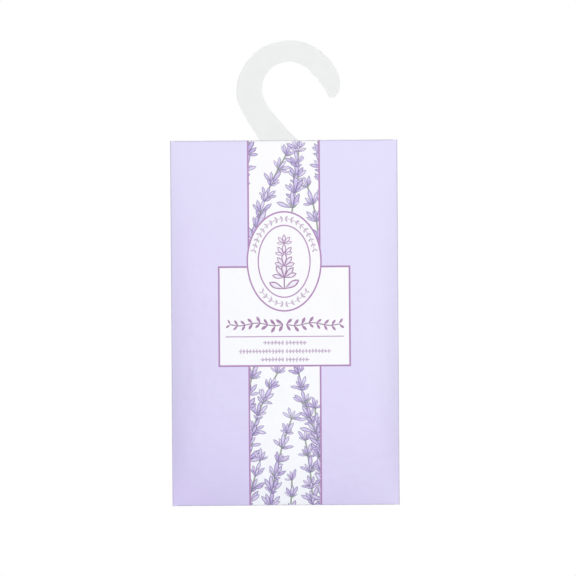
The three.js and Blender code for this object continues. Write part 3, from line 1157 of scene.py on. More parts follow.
    def _folded(self, column: Place, row: Place) -> Vector:
        """Finds a point of the blank once it is folded, and before it is filled.

        Args:
            column: The point's column.
            row: Its row.

        Returns:
            The point, from the pouch's head.
        """
        radius = self.fold_radius
        if row.zone in FLAPS:
            placed, lift = self._flap_place(column.at, row.at)
            return Vector((placed, radius + lift, row.at))
        if row.zone is not Zone.PANEL:
            half_depth = radius + self._flap_place(column.at, row.at)[1] / 2
            outward = radius * math.cos(row.turn) * (1 if row.zone is Zone.TOP_FOLD else -1)
            depth = half_depth - radius + half_depth * math.sin(row.turn)
            return Vector((column.at, depth, row.at + outward))
        z = row.at
        if self._is_corner(column) and z in (self.foot_z, self.head_z):
            reach = radius + self.paper / 2
            z += reach if z == self.head_z else -reach
        if column.zone in TURNED:
            outward = math.copysign(radius * math.cos(column.turn), column.at)
            return Vector((column.at + outward, radius * math.sin(column.turn), z))
        rise = self._wing_rise(column.at) if column.zone is Zone.RIGHT_WING else 0.0
        return Vector((column.at, -radius if column.zone is Zone.FRONT else radius + rise, z))

    def _blank(self, column: Place, row: Place) -> Triple:
        """Finds a point's place on the flat blank.

        Args:
            column: The point's column.
            row: Its row.

        Returns:
            Millimetres across and down, and nothing.
        """
        arc = math.pi * self.fold_radius
        past_fold = self.side + self.fold_radius * (column.turn + math.pi / 2)
        across = {
            Zone.FRONT: column.at,
            Zone.LEFT_WING: -(2 * self.side + arc + column.at),
            Zone.RIGHT_WING: 2 * self.side + arc - column.at,
        }.get(column.zone, math.copysign(past_fold, column.at))
        turned = self.fold_radius * (row.turn + math.pi / 2)
        if row.zone in FLAPS:
            across = self._flap_place(column.at, row.at)[0]
        down = {
            Zone.PANEL: -row.at,
            Zone.TOP_FOLD: -self.head_z - turned,
            Zone.BOTTOM_FOLD: -self.foot_z + turned,
            Zone.TOP_FLAP: row.at - arc - 2 * self.head_z,
            Zone.BOTTOM_FLAP: row.at + arc - 2 * self.foot_z,
        }[row.zone]
        return (across / MM, down / MM, 0.0)

    @staticmethod
    def _moves(column: Place, row: Place) -> Triple:
        """Tells how a point moves and how its folds grey.

        Args:
            column: The point's column.
            row: Its row.

        Returns:
            Its shares of the front swell, of the back swell and of the greying of folds, which is
            wear and painted shade.
        """
        if row.zone in FLAPS:
            return (0.0, 1.0, 0.0)
        if row.zone in TURNED or column.zone in TURNED:
            return (0.0, 0.0, 1.0)
        return (1.0, 0.0, 0.0) if column.zone is Zone.FRONT else (0.0, 1.0, 0.0)


@dataclass(frozen=True)
class Growth:
    """How petals grow along a stem, in metres and radians."""

    spacing: float
    petals: int
    spread: float
    length: float
    tip_share: float = 1.0
    first: float = 0.0
    last: float = 1.0
    stem_width: float = 0.0
    sway: float = 8 * DEGREE
    ragged: float = 0.12
    seed: int = SEED


class GrowthTree(GeometryTree):
    """Sets whorls of flat petals along stems that lie in the plane Y = 0, and draws the stems."""

    inks = ("wash", "outline", "stem")
    layers = 12.0
    first_layer = 3.0
    layer_step = 0.004 * MM
    outer_size = 0.8
    deepest_tint = 0.6
    stem_step = 0.8 * MM
    thinnest_stem = 0.01 * MM

    def __init__(self) -> None:
        """Builds the tree: whorls of petals along the stems, and ribbons for the stems."""
        inks = dict.fromkeys(self.inks, Material)
        super().__init__("Whorls along stems", Growth, petal=Piece, **inks)
        joined = self.add("GeometryNodeJoinGeometry", self._petals(self._whorls()))
        self.tree.links.new(self._stems(), joined.node.inputs[0])
        geometry = self.add("GeometryNodeRealizeInstances", joined)
        for level, ink in enumerate(self.inks):
            chosen = self.add(MATH, self.add(READ, INK), level, 0.5, operation="COMPARE")
            material = self.entry[titled(ink)]
            dressed = {"Geometry": geometry, "Selection": chosen, "Material": material}
            geometry = self.add("GeometryNodeSetMaterial", dressed)
        self.add("NodeGroupOutput", geometry)

    def _whorls(self) -> Socket:
        """Marks where petals sit: a few points at each step along the stems.

        Returns:
            Points that know their share of the stem, their heading and their side of the whorl.
        """
        add, entry = self.add, self.entry
        steps = {"Curve": entry["Geometry"], "Length": entry["Spacing"]}
        stepped = add("GeometryNodeResampleCurve", steps, mode="LENGTH")
        share = add("GeometryNodeSplineParameter", out="Factor")
        marked = add(STORE, {"Geometry": stepped, "Name": "share", "Value": share})
        points = add("GeometryNodeCurveToPoints", marked, mode="EVALUATED").node.outputs
        x, _, z = add(SPLIT, points["Tangent"]).node.outputs
        straight = add(MATH, x, z, operation="ARCTAN2")
        sway = add(MATH, self.drawn(-1.0, 1.0, 1), entry["Sway"], operation="MULTIPLY")
        heading = add(MATH, straight, sway, operation="ADD")
        headed = add(STORE, {"Geometry": points["Points"], "Name": "heading", "Value": heading})
        outside = [
            add(MATH, add(READ, "share"), entry[end], operation=test)
            for end, test in (("First", "LESS_THAN"), ("Last", "GREATER_THAN"))
        ]
        dropped = {"Geometry": headed, "Selection": add(MATH, *outside, operation="MAXIMUM")}
        kept = add("GeometryNodeDeleteGeometry", dropped, domain="POINT")
        row = {"Count": entry["Petals"], "Offset": (0.0, 0.0, 0.0)}
        last = add(MATH, entry["Petals"], 1.0, operation="SUBTRACT")
        side = add(MAP_RANGE, {0: add("GeometryNodeInputIndex"), 2: last, 3: -1.0, 4: 1.0})
        line = add("GeometryNodeMeshLine", row)
        sided = add(STORE, {"Geometry": line, "Name": "side", "Value": side})
        whorls = add("GeometryNodeInstanceOnPoints", {"Points": kept, "Instance": sided})
        return add("GeometryNodeRealizeInstances", whorls)

    def _petals(self, points: Socket) -> Socket:
        """Sets a petal on each point of the whorls, smaller and smaller towards the tip.

        Args:
            points: Points that know where they are in their whorl and on their stem.

        Returns:
            The petals, each with its own turn, size and tint.
        """
        add, entry = self.add, self.entry
        side = add(READ, "side")
        fanned = add(MATH, side, entry["Spread"], operation="MULTIPLY")
        fanned = add(MATH, fanned, self._varied(2), operation="MULTIPLY")
        turn = add(MATH, add(READ, "heading"), fanned, operation="ADD")
        size = add(MAP_RANGE, {0: add(READ, "share"), 3: 1.0, 4: entry["Tip share"]})
        away = add(MATH, side, operation="ABSOLUTE")
        outer = add(MAP_RANGE, {0: away, 3: 1.0, 4: self.outer_size})
        for factor in (outer, self._varied(3), entry["Length"]):
            size = add(MATH, size, factor, operation="MULTIPLY")
        petal = add("GeometryNodeObjectInfo", {"Object": entry["Petal"]}, out="Geometry")
        rotation = add(JOIN, {1: turn})
        set_on = {"Points": points, "Instance": petal, "Rotation": rotation, "Scale": size}
        petals = add("GeometryNodeInstanceOnPoints", set_on)
        layer = add(MATH, add("GeometryNodeInputIndex"), self.layers, operation="MODULO")
        layer = add(MATH, layer, self.first_layer, operation="ADD")
        lift = add(JOIN, {1: add(MATH, layer, -self.layer_step, operation="MULTIPLY")})
        lifts = {"Instances": petals, "Translation": lift, "Local Space": False}
        lifted = add("GeometryNodeTranslateInstances", lifts)
        tint = {"Geometry": lifted, "Name": TINT, "Value": self.drawn(0.0, self.deepest_tint, 4)}
        return add(STORE, tint, domain="INSTANCE")

    def _varied(self, salt: int) -> Socket:
        """Returns a random factor round 1, as wide as the growth is ragged."""
        ragged = self.drawn(-1.0, 1.0, salt), self.entry["Ragged"]
        return self.add(MATH, self.add(MATH, *ragged, operation="MULTIPLY"), 1.0, operation="ADD")

    def _stems(self) -> Socket:
        """Draws the stems.

        Returns:
            Flat ribbons, or nothing where the stems have no width.
        """
        add, entry = self.add, self.entry
        steps = {"Curve": entry["Geometry"], "Length": self.stem_step}
        course = add("GeometryNodeResampleCurve", steps, mode="LENGTH")
        flat = {"Curve": course, "Normal": (0.0, 1.0, 0.0)}
        upright = add("GeometryNodeSetCurveNormal", flat, mode="FREE")
        ends = {
            end: add(JOIN, {1: add(MATH, entry["Stem width"], share, operation="MULTIPLY")})
            for end, share in (("Start", -0.5), ("End", 0.5))
        }
        profile = add("GeometryNodeCurvePrimitiveLine", ends)
        ribbon = add("GeometryNodeCurveToMesh", upright, profile)
        bare = add(MATH, entry["Stem width"], self.thinnest_stem, operation="LESS_THAN")
        dropped = {"Geometry": ribbon, "Selection": bare}
        drawn = add("GeometryNodeDeleteGeometry", dropped, domain="FACE")
        return add(STORE, {"Geometry": drawn, "Name": INK, "Value": 2.0}, domain="FACE")


@dataclass(frozen=True)
class Petal:
    """A flat teardrop of unit length: a line round a wash, with a rib of points down its middle.

    The line's width is a share of the length, and tip_line says how much wider it is at the ends.
    Points nearer than a part of that width, which weld_part says, become one.
    """

    width: float
    line: float
    fullest: float = 0.62
    steps: int = 6
    roundness: float = 0.8
    tip_line: float = 1.4
    least_wash: float = 0.4
    weld_part: int = 100

    def build(self, name: str) -> Piece:
        """Builds the petal, root at the origin and tip towards +Z.

        Args:
            name: Name of the object.

        Returns:
            The petal, whose faces say whether they are wash or line.
        """
        power = math.log(0.5) / math.log(self.fullest)
        inset = self.line * self.tip_line
        points, shares = [], []
        for step in range(self.steps + 1):
            share = step / self.steps
            swell = math.sin(math.pi * share**power) ** self.roundness if 0 < share < 1 else 0.0
            half = self.width / 2 * swell
            inner = max(half - self.line, half * self.least_wash)
            height = inset + (1 - 2 * inset) * share
            row = ((-half, share), (-inner, height), (0.0, height), (inner, height), (half, share))
            points += [Vector((x, 0.0, z)) for x, z in row]
            shares += [share] * len(row)
        wide = len(points) // (self.steps + 1)
        corners = [
            step * wide + side for step in range(self.steps) for side in range(wide - 1)
        ]
        faces = [(c, c + 1, c + 1 + wide, c + wide) for c in corners]
        petal = mesh_object(name, points, faces)
        is_line = [float(corner % wide in (0, wide - 2)) for corner in corners]
        store_numbers(petal, INK, "FACE", is_line)
        store_numbers(petal, ALONG, "POINT", shares)
        welded = bmesh.new()
        welded.from_mesh(petal.data)
        bmesh.ops.remove_doubles(welded, verts=welded.verts, dist=self.line / self.weld_part)
        welded.to_mesh(petal.data)
        welded.free()
        return petal


@dataclass(frozen=True)
class Motif:
    """One drawing: its name, the petal that it repeats, how it grows, and its inks.

    It may skip some points at the root of each course, so that it sits between its neighbours.
    """

    name: str
    petal: Petal
    growth: Growth
    inks: tuple[Ink, Ink, Ink]
    skip: int = 0


class PrintFace(Enum):
    """Faces of the folded pouch that carry drawn ornament."""

    FRONT = "front"
    TOP_FLAP = "top_flap"
    BOTTOM_FLAP = "bottom_flap"


@dataclass(frozen=True)
class Spray:
    """A stem's course on the blank, in millimetres across and down, with a sideways bow."""

    root: Pair
    tip: Pair
    bow: float = 0.0
    steps: int = 14

    def course(self) -> Course:
        """Works out the stem's curve.

        Returns:
            Points from the root to the tip.
        """
        (x, y), (end_x, end_y) = self.root, self.tip
        wide, tall = end_x - x, end_y - y
        length = math.hypot(wide, tall)
        course = []
        for step in range(self.steps + 1):
            share = step / self.steps
            bulge = 4 * share * (1 - share)
            across = x + wide * share + tall / length * self.bow * bulge
            course.append((across, y + tall * share + -wide / length * self.bow * bulge))
        return course


@dataclass
class Printer:
    """Draws flat ornament on the blank and lays it on the folded pouch as thin ink."""

    envelope: Envelope
    paper: BVHTree
    layout: PrintLayout
    tree: GrowthTree = field(default_factory=GrowthTree)
    ink_rise: float = 0.03 * MM
    ink_depth: float = 0.12 * MM
    fold_room: float = 0.3
    far: float = 50 * MM

    def put(
        self,
        motif: Motif,
        courses: list[Course],
        names: dict[PrintFace, str],
        limits: Iterable[Limit] = (),
    ) -> None:
        """Draws a motif once on the blank and lays it on the faces that it reaches.

        Args:
            motif: What is drawn.
            courses: The stems, as points across and down.
            names: Name of the piece on each face.
            limits: Measures of the room at a place on the blank, each negative outside.
        """
        petal = motif.petal.build(f"{motif.name}_petal")
        drawing = self._draw(motif, courses, petal)
        for face, name in names.items():
            self._lay(drawing, face, name, limits)
        for spent in (drawing, petal):
            bpy.data.objects.remove(spent)

    def _draw(self, motif: Motif, courses: list[Course], petal: Piece) -> Piece:
        """Grows petals along courses on the blank.

        Args:
            motif: What is drawn.
            courses: The stems, as points across and down.
            petal: The petal that is repeated.

        Returns:
            The drawing as a flat mesh in the plane Y = 0, across along +X and down along -Z.
        """
        curve = bpy.data.curves.new(motif.name, "CURVE")
        curve.dimensions = "3D"
        for course in (course[motif.skip :] for course in courses):
            spline = curve.splines.new("POLY")
            spline.points.add(len(course) - 1)
            for point, (across, down) in zip(spline.points, course):
                point.co = (across * MM, 0.0, -down * MM, 1.0)
        inks = dict(zip(self.tree.inks, (self._ink(ink) for ink in motif.inks)))
        stems = link_object(motif.name, curve)
        return self.tree.grow(stems, motif.name, motif.growth, petal=petal, **inks)

    def _lay(
        self, drawing: Piece, face: PrintFace, name: str, limits: Iterable[Limit]
    ) -> None:
        """Trims a drawing to one face of the pouch and lays it on the paper.

        Args:
            drawing: A flat drawing on the blank.
            face: The face that takes it.
            name: Name of the piece.
            limits: Measures of the room at a place on the blank, each negative outside.
        """
        ink = bmesh.new()
        ink.from_mesh(drawing.data)
        for limit in (*self._face_limits(face), *limits):
            self._trim(ink, limit)
        loose = [vert for vert in ink.verts if not vert.link_faces]
        bmesh.ops.delete(ink, geom=loose, context="VERTS")
        if not ink.faces:
            ink.free()
            return
        outward = -1.0 if face is PrintFace.FRONT else 1.0
        for vert in ink.verts:
            vert.co = self._on_paper(vert.co, face, outward)
        ink.normal_update()
        for facet in ink.faces:
            if facet.normal.y * outward < 0:
                facet.normal_flip()
        grown = bmesh.ops.extrude_face_region(ink, geom=list(ink.faces), use_keep_orig=True)
        for element in grown["geom"]:
            if isinstance(element, bmesh.types.BMVert):
                element.co.y -= outward * self.ink_depth
        bmesh.ops.recalc_face_normals(ink, faces=ink.faces)
        piece = edited_object(name, ink, drawing.data.materials)
        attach(piece, "pouch")
        report(piece)

    @staticmethod
    def _ink(ink: Ink) -> Material:
        """Finds an ink's material, which is made when it is first asked for.

        Args:
            ink: The ink.

        Returns:
            Its material.
        """
        name = f"offset_ink_{ink.name.lower()}"
        full, thin = ink.value
        return bpy.data.materials.get(name) or OffsetInk(name, full, thin=thin).material()

    def _face_limits(self, face: PrintFace) -> list[Limit]:
        """Finds the limits between which a face lies on the blank.

        Args:
            face: The face.

        Returns:
            Measures of the room inside its two folds or ends.
        """
        height = self.envelope.height / MM
        first, last = {
            PrintFace.FRONT: (0.0, height),
            PrintFace.TOP_FLAP: (-self.envelope.top_flap / MM, 0.0),
            PrintFace.BOTTOM_FLAP: (height, height + self.envelope.bottom_flap / MM),
        }[face]
        return [
            lambda across, down: down - first - self.fold_room,
            lambda across, down: last - self.fold_room - down,
        ]

    @staticmethod
    def _trim(ink: bmesh.types.BMesh, limit: Limit) -> None:
        """Cuts a flat drawing along a limit, and drops what lies outside.

        Args:
            ink: The drawing.
            limit: Measure of the room at a place on the blank, negative outside.
        """
        worth = {vert: limit(vert.co.x / MM, -vert.co.z / MM) for vert in ink.verts}
        cuts = []
        for edge in list(ink.edges):
            first, second = edge.verts
            if (worth[first] > 0) != (worth[second] > 0):
                share = worth[first] / (worth[first] - worth[second])
                _, cut = bmesh.utils.edge_split(edge, first, share)
                worth[cut] = 0.0
                cuts.append(cut)
        bmesh.ops.connect_verts(ink, verts=cuts)
        hidden = []
        for facet in ink.faces:
            middle = facet.calc_center_median()
            if limit(middle.x / MM, -middle.z / MM) < 0:
                hidden.append(facet)
        bmesh.ops.delete(ink, geom=hidden, context="FACES")

    def _on_paper(self, flat: Vector, face: PrintFace, outward: float) -> Vector:
        """Finds where a point of a flat drawing lies on the folded pouch.

        Args:
            flat: The point on the blank, with its layer along -Y.
            face: The face that takes it.
            outward: Direction of the face along Y.

        Returns:
            The point, just proud of the paper.
        """
        head = self.envelope.head
        z = {
            PrintFace.FRONT: head.z + flat.z,
            PrintFace.TOP_FLAP: head.z - flat.z,
            PrintFace.BOTTOM_FLAP: head.z - 2 * self.envelope.height - flat.z,
        }[face]
        start = Vector((head.x + flat.x, head.y + outward * self.far, z))
        hit = self.paper.ray_cast(start, Vector((0.0, -outward, 0.0)))[0]
        surface = hit.y if hit else head.y
        return Vector((start.x, surface + outward * (self.ink_rise - flat.y), z))


@dataclass
class BandPrint:
    """Lavender sprays that grow up the white band, over both folds and onto the flaps."""

    printer: Printer
    sprays: tuple[Spray, ...] = (
        Spray((-17, 60), (1, 8), 3.0),
        Spray((-23, 40), (-11, -24), 2.0),
        Spray((3, 42), (8, -18), -1.5),
        Spray((17, 60), (12, 24), -2.0),
        Spray((23, 44), (15.5, -8), -1.0),
        Spray((-21, 170), (-4, 118), 3.0),
        Spray((-21, 146), (-13, 104), 1.0),
        Spray((-9, 216), (3, 141), 4.0),
        Spray((-22, 206), (-13, 162), 1.5),
        Spray((22, 162), (6, 110), 3.0),
        Spray((13, 214), (10, 152), -2.0),
        Spray((23, 206), (15, 136), 1.0),
        Spray((-2, 216), (3, 172), -1.0),
    )
    spacing: float = 7.4 * MM
    first: float = 0.1
    edge_room: float = 0.45

    def _motifs(self) -> tuple[Motif, ...]:
        """Describes what grows on the sprays.

        Returns:
            The buds and cups, and the florets that stand before them.
        """
        common = {"spacing": self.spacing, "first": self.first}
        buds = Growth(
            petals=3, spread=52 * DEGREE, length=5.6 * MM, tip_share=0.7, last=0.93,
            sway=26 * DEGREE, ragged=0.3, **common,
        )
        cups = Growth(
            petals=2, spread=48 * DEGREE, length=3.2 * MM, sway=12 * DEGREE, ragged=0.3, **common
        )
        florets = Growth(
            petals=5, spread=60 * DEGREE, length=9.2 * MM, tip_share=0.62,
            stem_width=0.8 * MM, sway=16 * DEGREE, ragged=0.28, **common,
        )
        lilac = (Ink.FLORET, Ink.OUTLINE, Ink.STALK)
        green = (Ink.STALK, Ink.STALK_EDGE, Ink.STALK)
        return (
            Motif("band_buds", Petal(width=0.34, line=0.07, fullest=0.55), buds, lilac, skip=1),
            Motif("band_cups", Petal(width=0.3, line=0.07, fullest=0.45), cups, green),
            Motif("band_florets", Petal(width=0.27, line=0.045), florets, lilac),
        )

    def build(self) -> None:
        """Draws the sprays once on the blank and lays them on each face they reach."""
        layout = self.printer.layout
        limits = (
            lambda across, down: layout.inside_band(across) - self.edge_room,
            lambda across, down: layout.clear_of_label(across, down) - self.edge_room,
            lambda across, down: layout.clear_of_oval(across, down) - layout.outer_line / 2,
        )
        courses = [spray.course() for spray in self.sprays]
        for motif in self._motifs():
            names = {face: f"{motif.name}_{face.value}" for face in PrintFace}
            self.printer.put(motif, courses, names, limits)


@dataclass
class LabelPrint:
    """Plum ornament on the label and in the oval: a garland, small rows, a ring and a bloom."""

    printer: Printer
    garland_down: float = 93.2
    garland_half: float = 27.4
    garland_gap: float = 0.8
    garland_wave: float = 0.7
    garland_waves: float = 1.5
    garland_steps: int = 30
    row_ends: tuple[Pair, ...] = ((102.5, 9.4), (106.8, 21.8), (111.0, 10.6))
    row_gap: float = 0.6
    ring_arcs: tuple[Pair, ...] = ((88, 16), (92, 164), (268, 226), (272, 314))
    ring_steps: int = 24
    bloom: Spray = Spray((-0.15, 75.5), (-0.15, 52.5))

    def build(self) -> None:
        """Draws each ornament and lays it on the front."""
        plum, soft, tinted = (
            (wash, line, line)
            for wash, line in (
                (Ink.PLUM, Ink.PLUM),
                (Ink.PLUM_SOFT, Ink.PLUM_SOFT),
                (Ink.PLUM_TINT, Ink.PLUM),
            )
        )
        broad = Petal(width=0.36, line=0.08, fullest=0.6)
        slim = Petal(width=0.42, line=0.1, fullest=0.5)
        pod = Petal(width=0.38, line=0.07, fullest=0.6)
        garland = Growth(
            spacing=3.4 * MM, petals=2, spread=50 * DEGREE, length=5.2 * MM, tip_share=0.75,
            stem_width=0.5 * MM, sway=2 * DEGREE,
        )
        rows = Growth(
            spacing=1.55 * MM, petals=3, spread=56 * DEGREE, length=1.75 * MM, sway=4 * DEGREE
        )
        ring = Growth(
            spacing=2.8 * MM, petals=2, spread=50 * DEGREE, length=2.5 * MM,
            stem_width=0.3 * MM, sway=4 * DEGREE,
        )
        blades = Growth(
            spacing=12 * MM, petals=2, spread=66 * DEGREE, length=10.5 * MM, last=0.1, sway=0.0
        )
        bloom = Growth(
            spacing=5.6 * MM, petals=5, spread=78 * DEGREE, length=8.6 * MM, tip_share=0.6,
            first=0.2, stem_width=0.6 * MM, sway=0.0,
        )
        stem = [self.bloom.course()]
        drawings = (
            (Motif("label_garland", broad, garland, plum), self._garland()),
            (Motif("label_rows", slim, rows, soft), self._rows()),
            (Motif("oval_ring", slim, ring, soft), self._ring()),
            (Motif("oval_blades", pod, blades, tinted), stem),
            (Motif("oval_bloom", pod, bloom, tinted), stem),
        )
        for motif, courses in drawings:
            self.printer.put(motif, courses, {PrintFace.FRONT: f"{motif.name}_ink"})

    def _garland(self) -> list[Course]:
        """Lays out the garland.

        Returns:
            Two mirrored branches that run outwards from the label's middle.
        """
        middle, gap = self.printer.layout.rule_centre[0], self.garland_gap
        shares = [step / self.garland_steps for step in range(self.garland_steps + 1)]
        return [
            [
                (
                    middle + sign * (gap + share * (self.garland_half - gap)),
                    self.garland_down
                    + self.garland_wave * math.sin(share * 2 * self.garland_waves * math.pi),
                )
                for share in shares
            ]
            for sign in (-1, 1)
        ]

    def _rows(self) -> list[Course]:
        """Lays out the three short rows under the rule.

        Returns:
            Each row as two halves from the middle.
        """
        middle = self.printer.layout.rule_centre[0]
        return [
            [(middle + sign * self.row_gap, down), (middle + sign * half, down)]
            for down, half in self.row_ends
            for sign in (-1, 1)
        ]

    def _ring(self) -> list[Course]:
        """Lays out two arcs between the ovals, above and below.

        Returns:
            Each arc as two mirrored halves.
        """
        layout = self.printer.layout
        wide, tall = ((a + b) / 2 for a, b in zip(layout.outer_oval, layout.inner_oval))
        x, y = layout.oval_centre
        courses = []
        for start, end in self.ring_arcs:
            angles = [
                math.radians(start + (end - start) * step / self.ring_steps)
                for step in range(self.ring_steps + 1)
            ]
            courses.append([(x + wide * math.cos(a), y - tall * math.sin(a)) for a in angles])
        return courses


@dataclass(frozen=True)
class Scatter:
    """How large the loose grains are, and how far each lies from its place."""

    size: float = 3.9 * MM
    jitter: float = 0.35 * MM
    seed: int = SEED


class ScatterTree(GeometryTree):
    """Sets a grain on each point, jittered, turned and sized at random by a fixed seed."""

    smallest = 0.72
    deepest_tint = 0.8

    def __init__(self) -> None:
        """Builds the tree."""
        super().__init__("Loose grains", Scatter, grain=Piece, mineral=Material)
        add, entry = self.add, self.entry
        away, turn = (
            add(DRAW, (low,) * 3, (high,) * 3, {"Seed": entry["Seed"]}, data_type="FLOAT_VECTOR")
            for low, high in ((-1.0, 1.0), (0.0, math.tau))
        )
        shift = add(VECTOR_MATH, {0: away, "Scale": entry["Jitter"]}, operation="SCALE")
        moved = {"Geometry": entry["Geometry"], "Offset": shift}
        loose = add("GeometryNodeSetPosition", moved)
        size = add(MATH, self.drawn(self.smallest, 1.0, 1), entry["Size"], operation="MULTIPLY")
        grain = add("GeometryNodeObjectInfo", {"Object": entry["Grain"]}, out="Geometry")
        set_on = {"Points": loose, "Instance": grain, "Rotation": turn, "Scale": size}
        grains = add("GeometryNodeInstanceOnPoints", set_on)
        tint = {"Geometry": grains, "Name": TINT, "Value": self.drawn(0.0, self.deepest_tint, 2)}
        real = add("GeometryNodeRealizeInstances", add(STORE, tint, domain="INSTANCE"))
        dressed = {"Geometry": real, "Material": entry["Mineral"]}
        add("NodeGroupOutput", add("GeometryNodeSetMaterial", dressed))


@dataclass
class Filling:
    """The bed of loose grains inside the paper. Each grain is a stack of slipped plates."""

    paper: BVHTree
    envelope: Envelope
    scatter: Scatter = Scatter()
    pitch: float = 3.7 * MM
    plates: int = 3
    plate_corners: tuple[Pair, ...] = ((-0.42, -0.3), (0.4, -0.34), (0.44, 0.31), (-0.38, 0.35))
    plate_share: float = 0.86
    thickness: float = 0.62
    slip: float = 0.06

    def build(self, mineral: Material) -> Piece:
        """Fills the pouch with grains, layer on layer.

        Args:
            mineral: Finish of the grains.

        Returns:
            The bed as one piece, which rides on the pouch.
        """
        grain = self._grain()
        bed = mesh_object("bed_points", self._points(), [])
        inputs = {"grain": grain, "mineral": mineral}
        piece = ScatterTree().grow(bed, "granule_bed", self.scatter, **inputs)
        bpy.data.objects.remove(grain)
        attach(piece, "pouch")
        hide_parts("scented_granules")
        report(piece)
        return piece

    def _grain(self) -> Piece:
        """Builds one grain.

        Returns:
            The grain, of about unit width.
        """
        shaken = random.Random(SEED)
        quads = ((3, 2, 1, 0), (4, 5, 6, 7), (0, 1, 5, 4), (1, 2, 6, 5), (2, 3, 7, 6), (3, 0, 4, 7))
        points: list[Vector] = []
        faces: list[tuple[int, ...]] = []
        gap = self.thickness / self.plates
        for plate in range(self.plates):
            start = len(points)
            x, y = (shaken.uniform(-self.slip, self.slip) for _ in range(2))
            low = -self.thickness / 2 + gap * plate
            for z in (low, low + gap * self.plate_share):
                points += [Vector((a, b, z)) + Vector((x, y, 0.0)) for a, b in self.plate_corners]
            faces += [tuple(start + corner for corner in quad) for quad in quads]
        return mesh_object("grain", points, faces)

    def _points(self) -> list[Vector]:
        """Lays out the grains in layers between the front and the back.

        Returns:
            The middles of the grains.
        """
        low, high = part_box("scented_granules")
        room = self.scatter.size * self.thickness + self.scatter.jitter
        columns = spread_places(low.x + room, high.x - room, self.pitch)
        rows = spread_places(low.z + room, high.z - room, self.pitch)
        points = []
        for x, z in itertools.product(columns, rows):
            start = Vector((x, self.envelope.head.y, z))
            front, back = (
                self.paper.ray_cast(start, Vector((0.0, way, 0.0)))[0] for way in (-1.0, 1.0)
            )
            if front and back and back.y - front.y > 2 * room:
                depths = spread_places(front.y + room, back.y - room + NUDGE, self.pitch)
                points += [Vector((x, depth, z)) for depth in depths]
        return points


@dataclass
class Outline:
    """An outline that is drawn step by step in millimetres across and up."""

    steps: int
    points: Course = field(default_factory=list)

    def line_to(self, x: float, z: float) -> None:
        """Adds a corner."""
        self.points.append((x, z))

    def arc(self, centre: Pair, radius: float, start: float, end: float) -> None:
        """Adds an arc with both its ends.

        Args:
            centre: Its centre.
            radius: Its radius.
            start: Angle at which it starts, in degrees.
            end: Angle at which it ends.
        """
        for step in range(self.steps + 1):
            angle = math.radians(start + (end - start) * step / self.steps)
            x, z = radius * math.cos(angle), radius * math.sin(angle)
            self.points.append((centre[0] + x, centre[1] + z))

    def curve_to(self, leave: Pair, end: Pair, arrive: Pair) -> None:
        """Adds a curve from the last point.

        Args:
            leave: Handle at the start, from the last point.
            end: End of the curve.
            arrive: Direction and length in which the curve arrives.
        """
        start = self.points[-1]
        first = (start[0] + leave[0], start[1] + leave[1])
        second = (end[0] - arrive[0], end[1] - arrive[1])
        for step in range(1, self.steps + 1):
            t = step / self.steps
            weights = ((1 - t) ** 3, 3 * t * (1 - t) ** 2, 3 * t**2 * (1 - t), t**3)
            knots = tuple(zip(weights, (start, first, second, end)))
            self.points.append(tuple(sum(w * knot[axis] for w, knot in knots) for axis in (0, 1)))


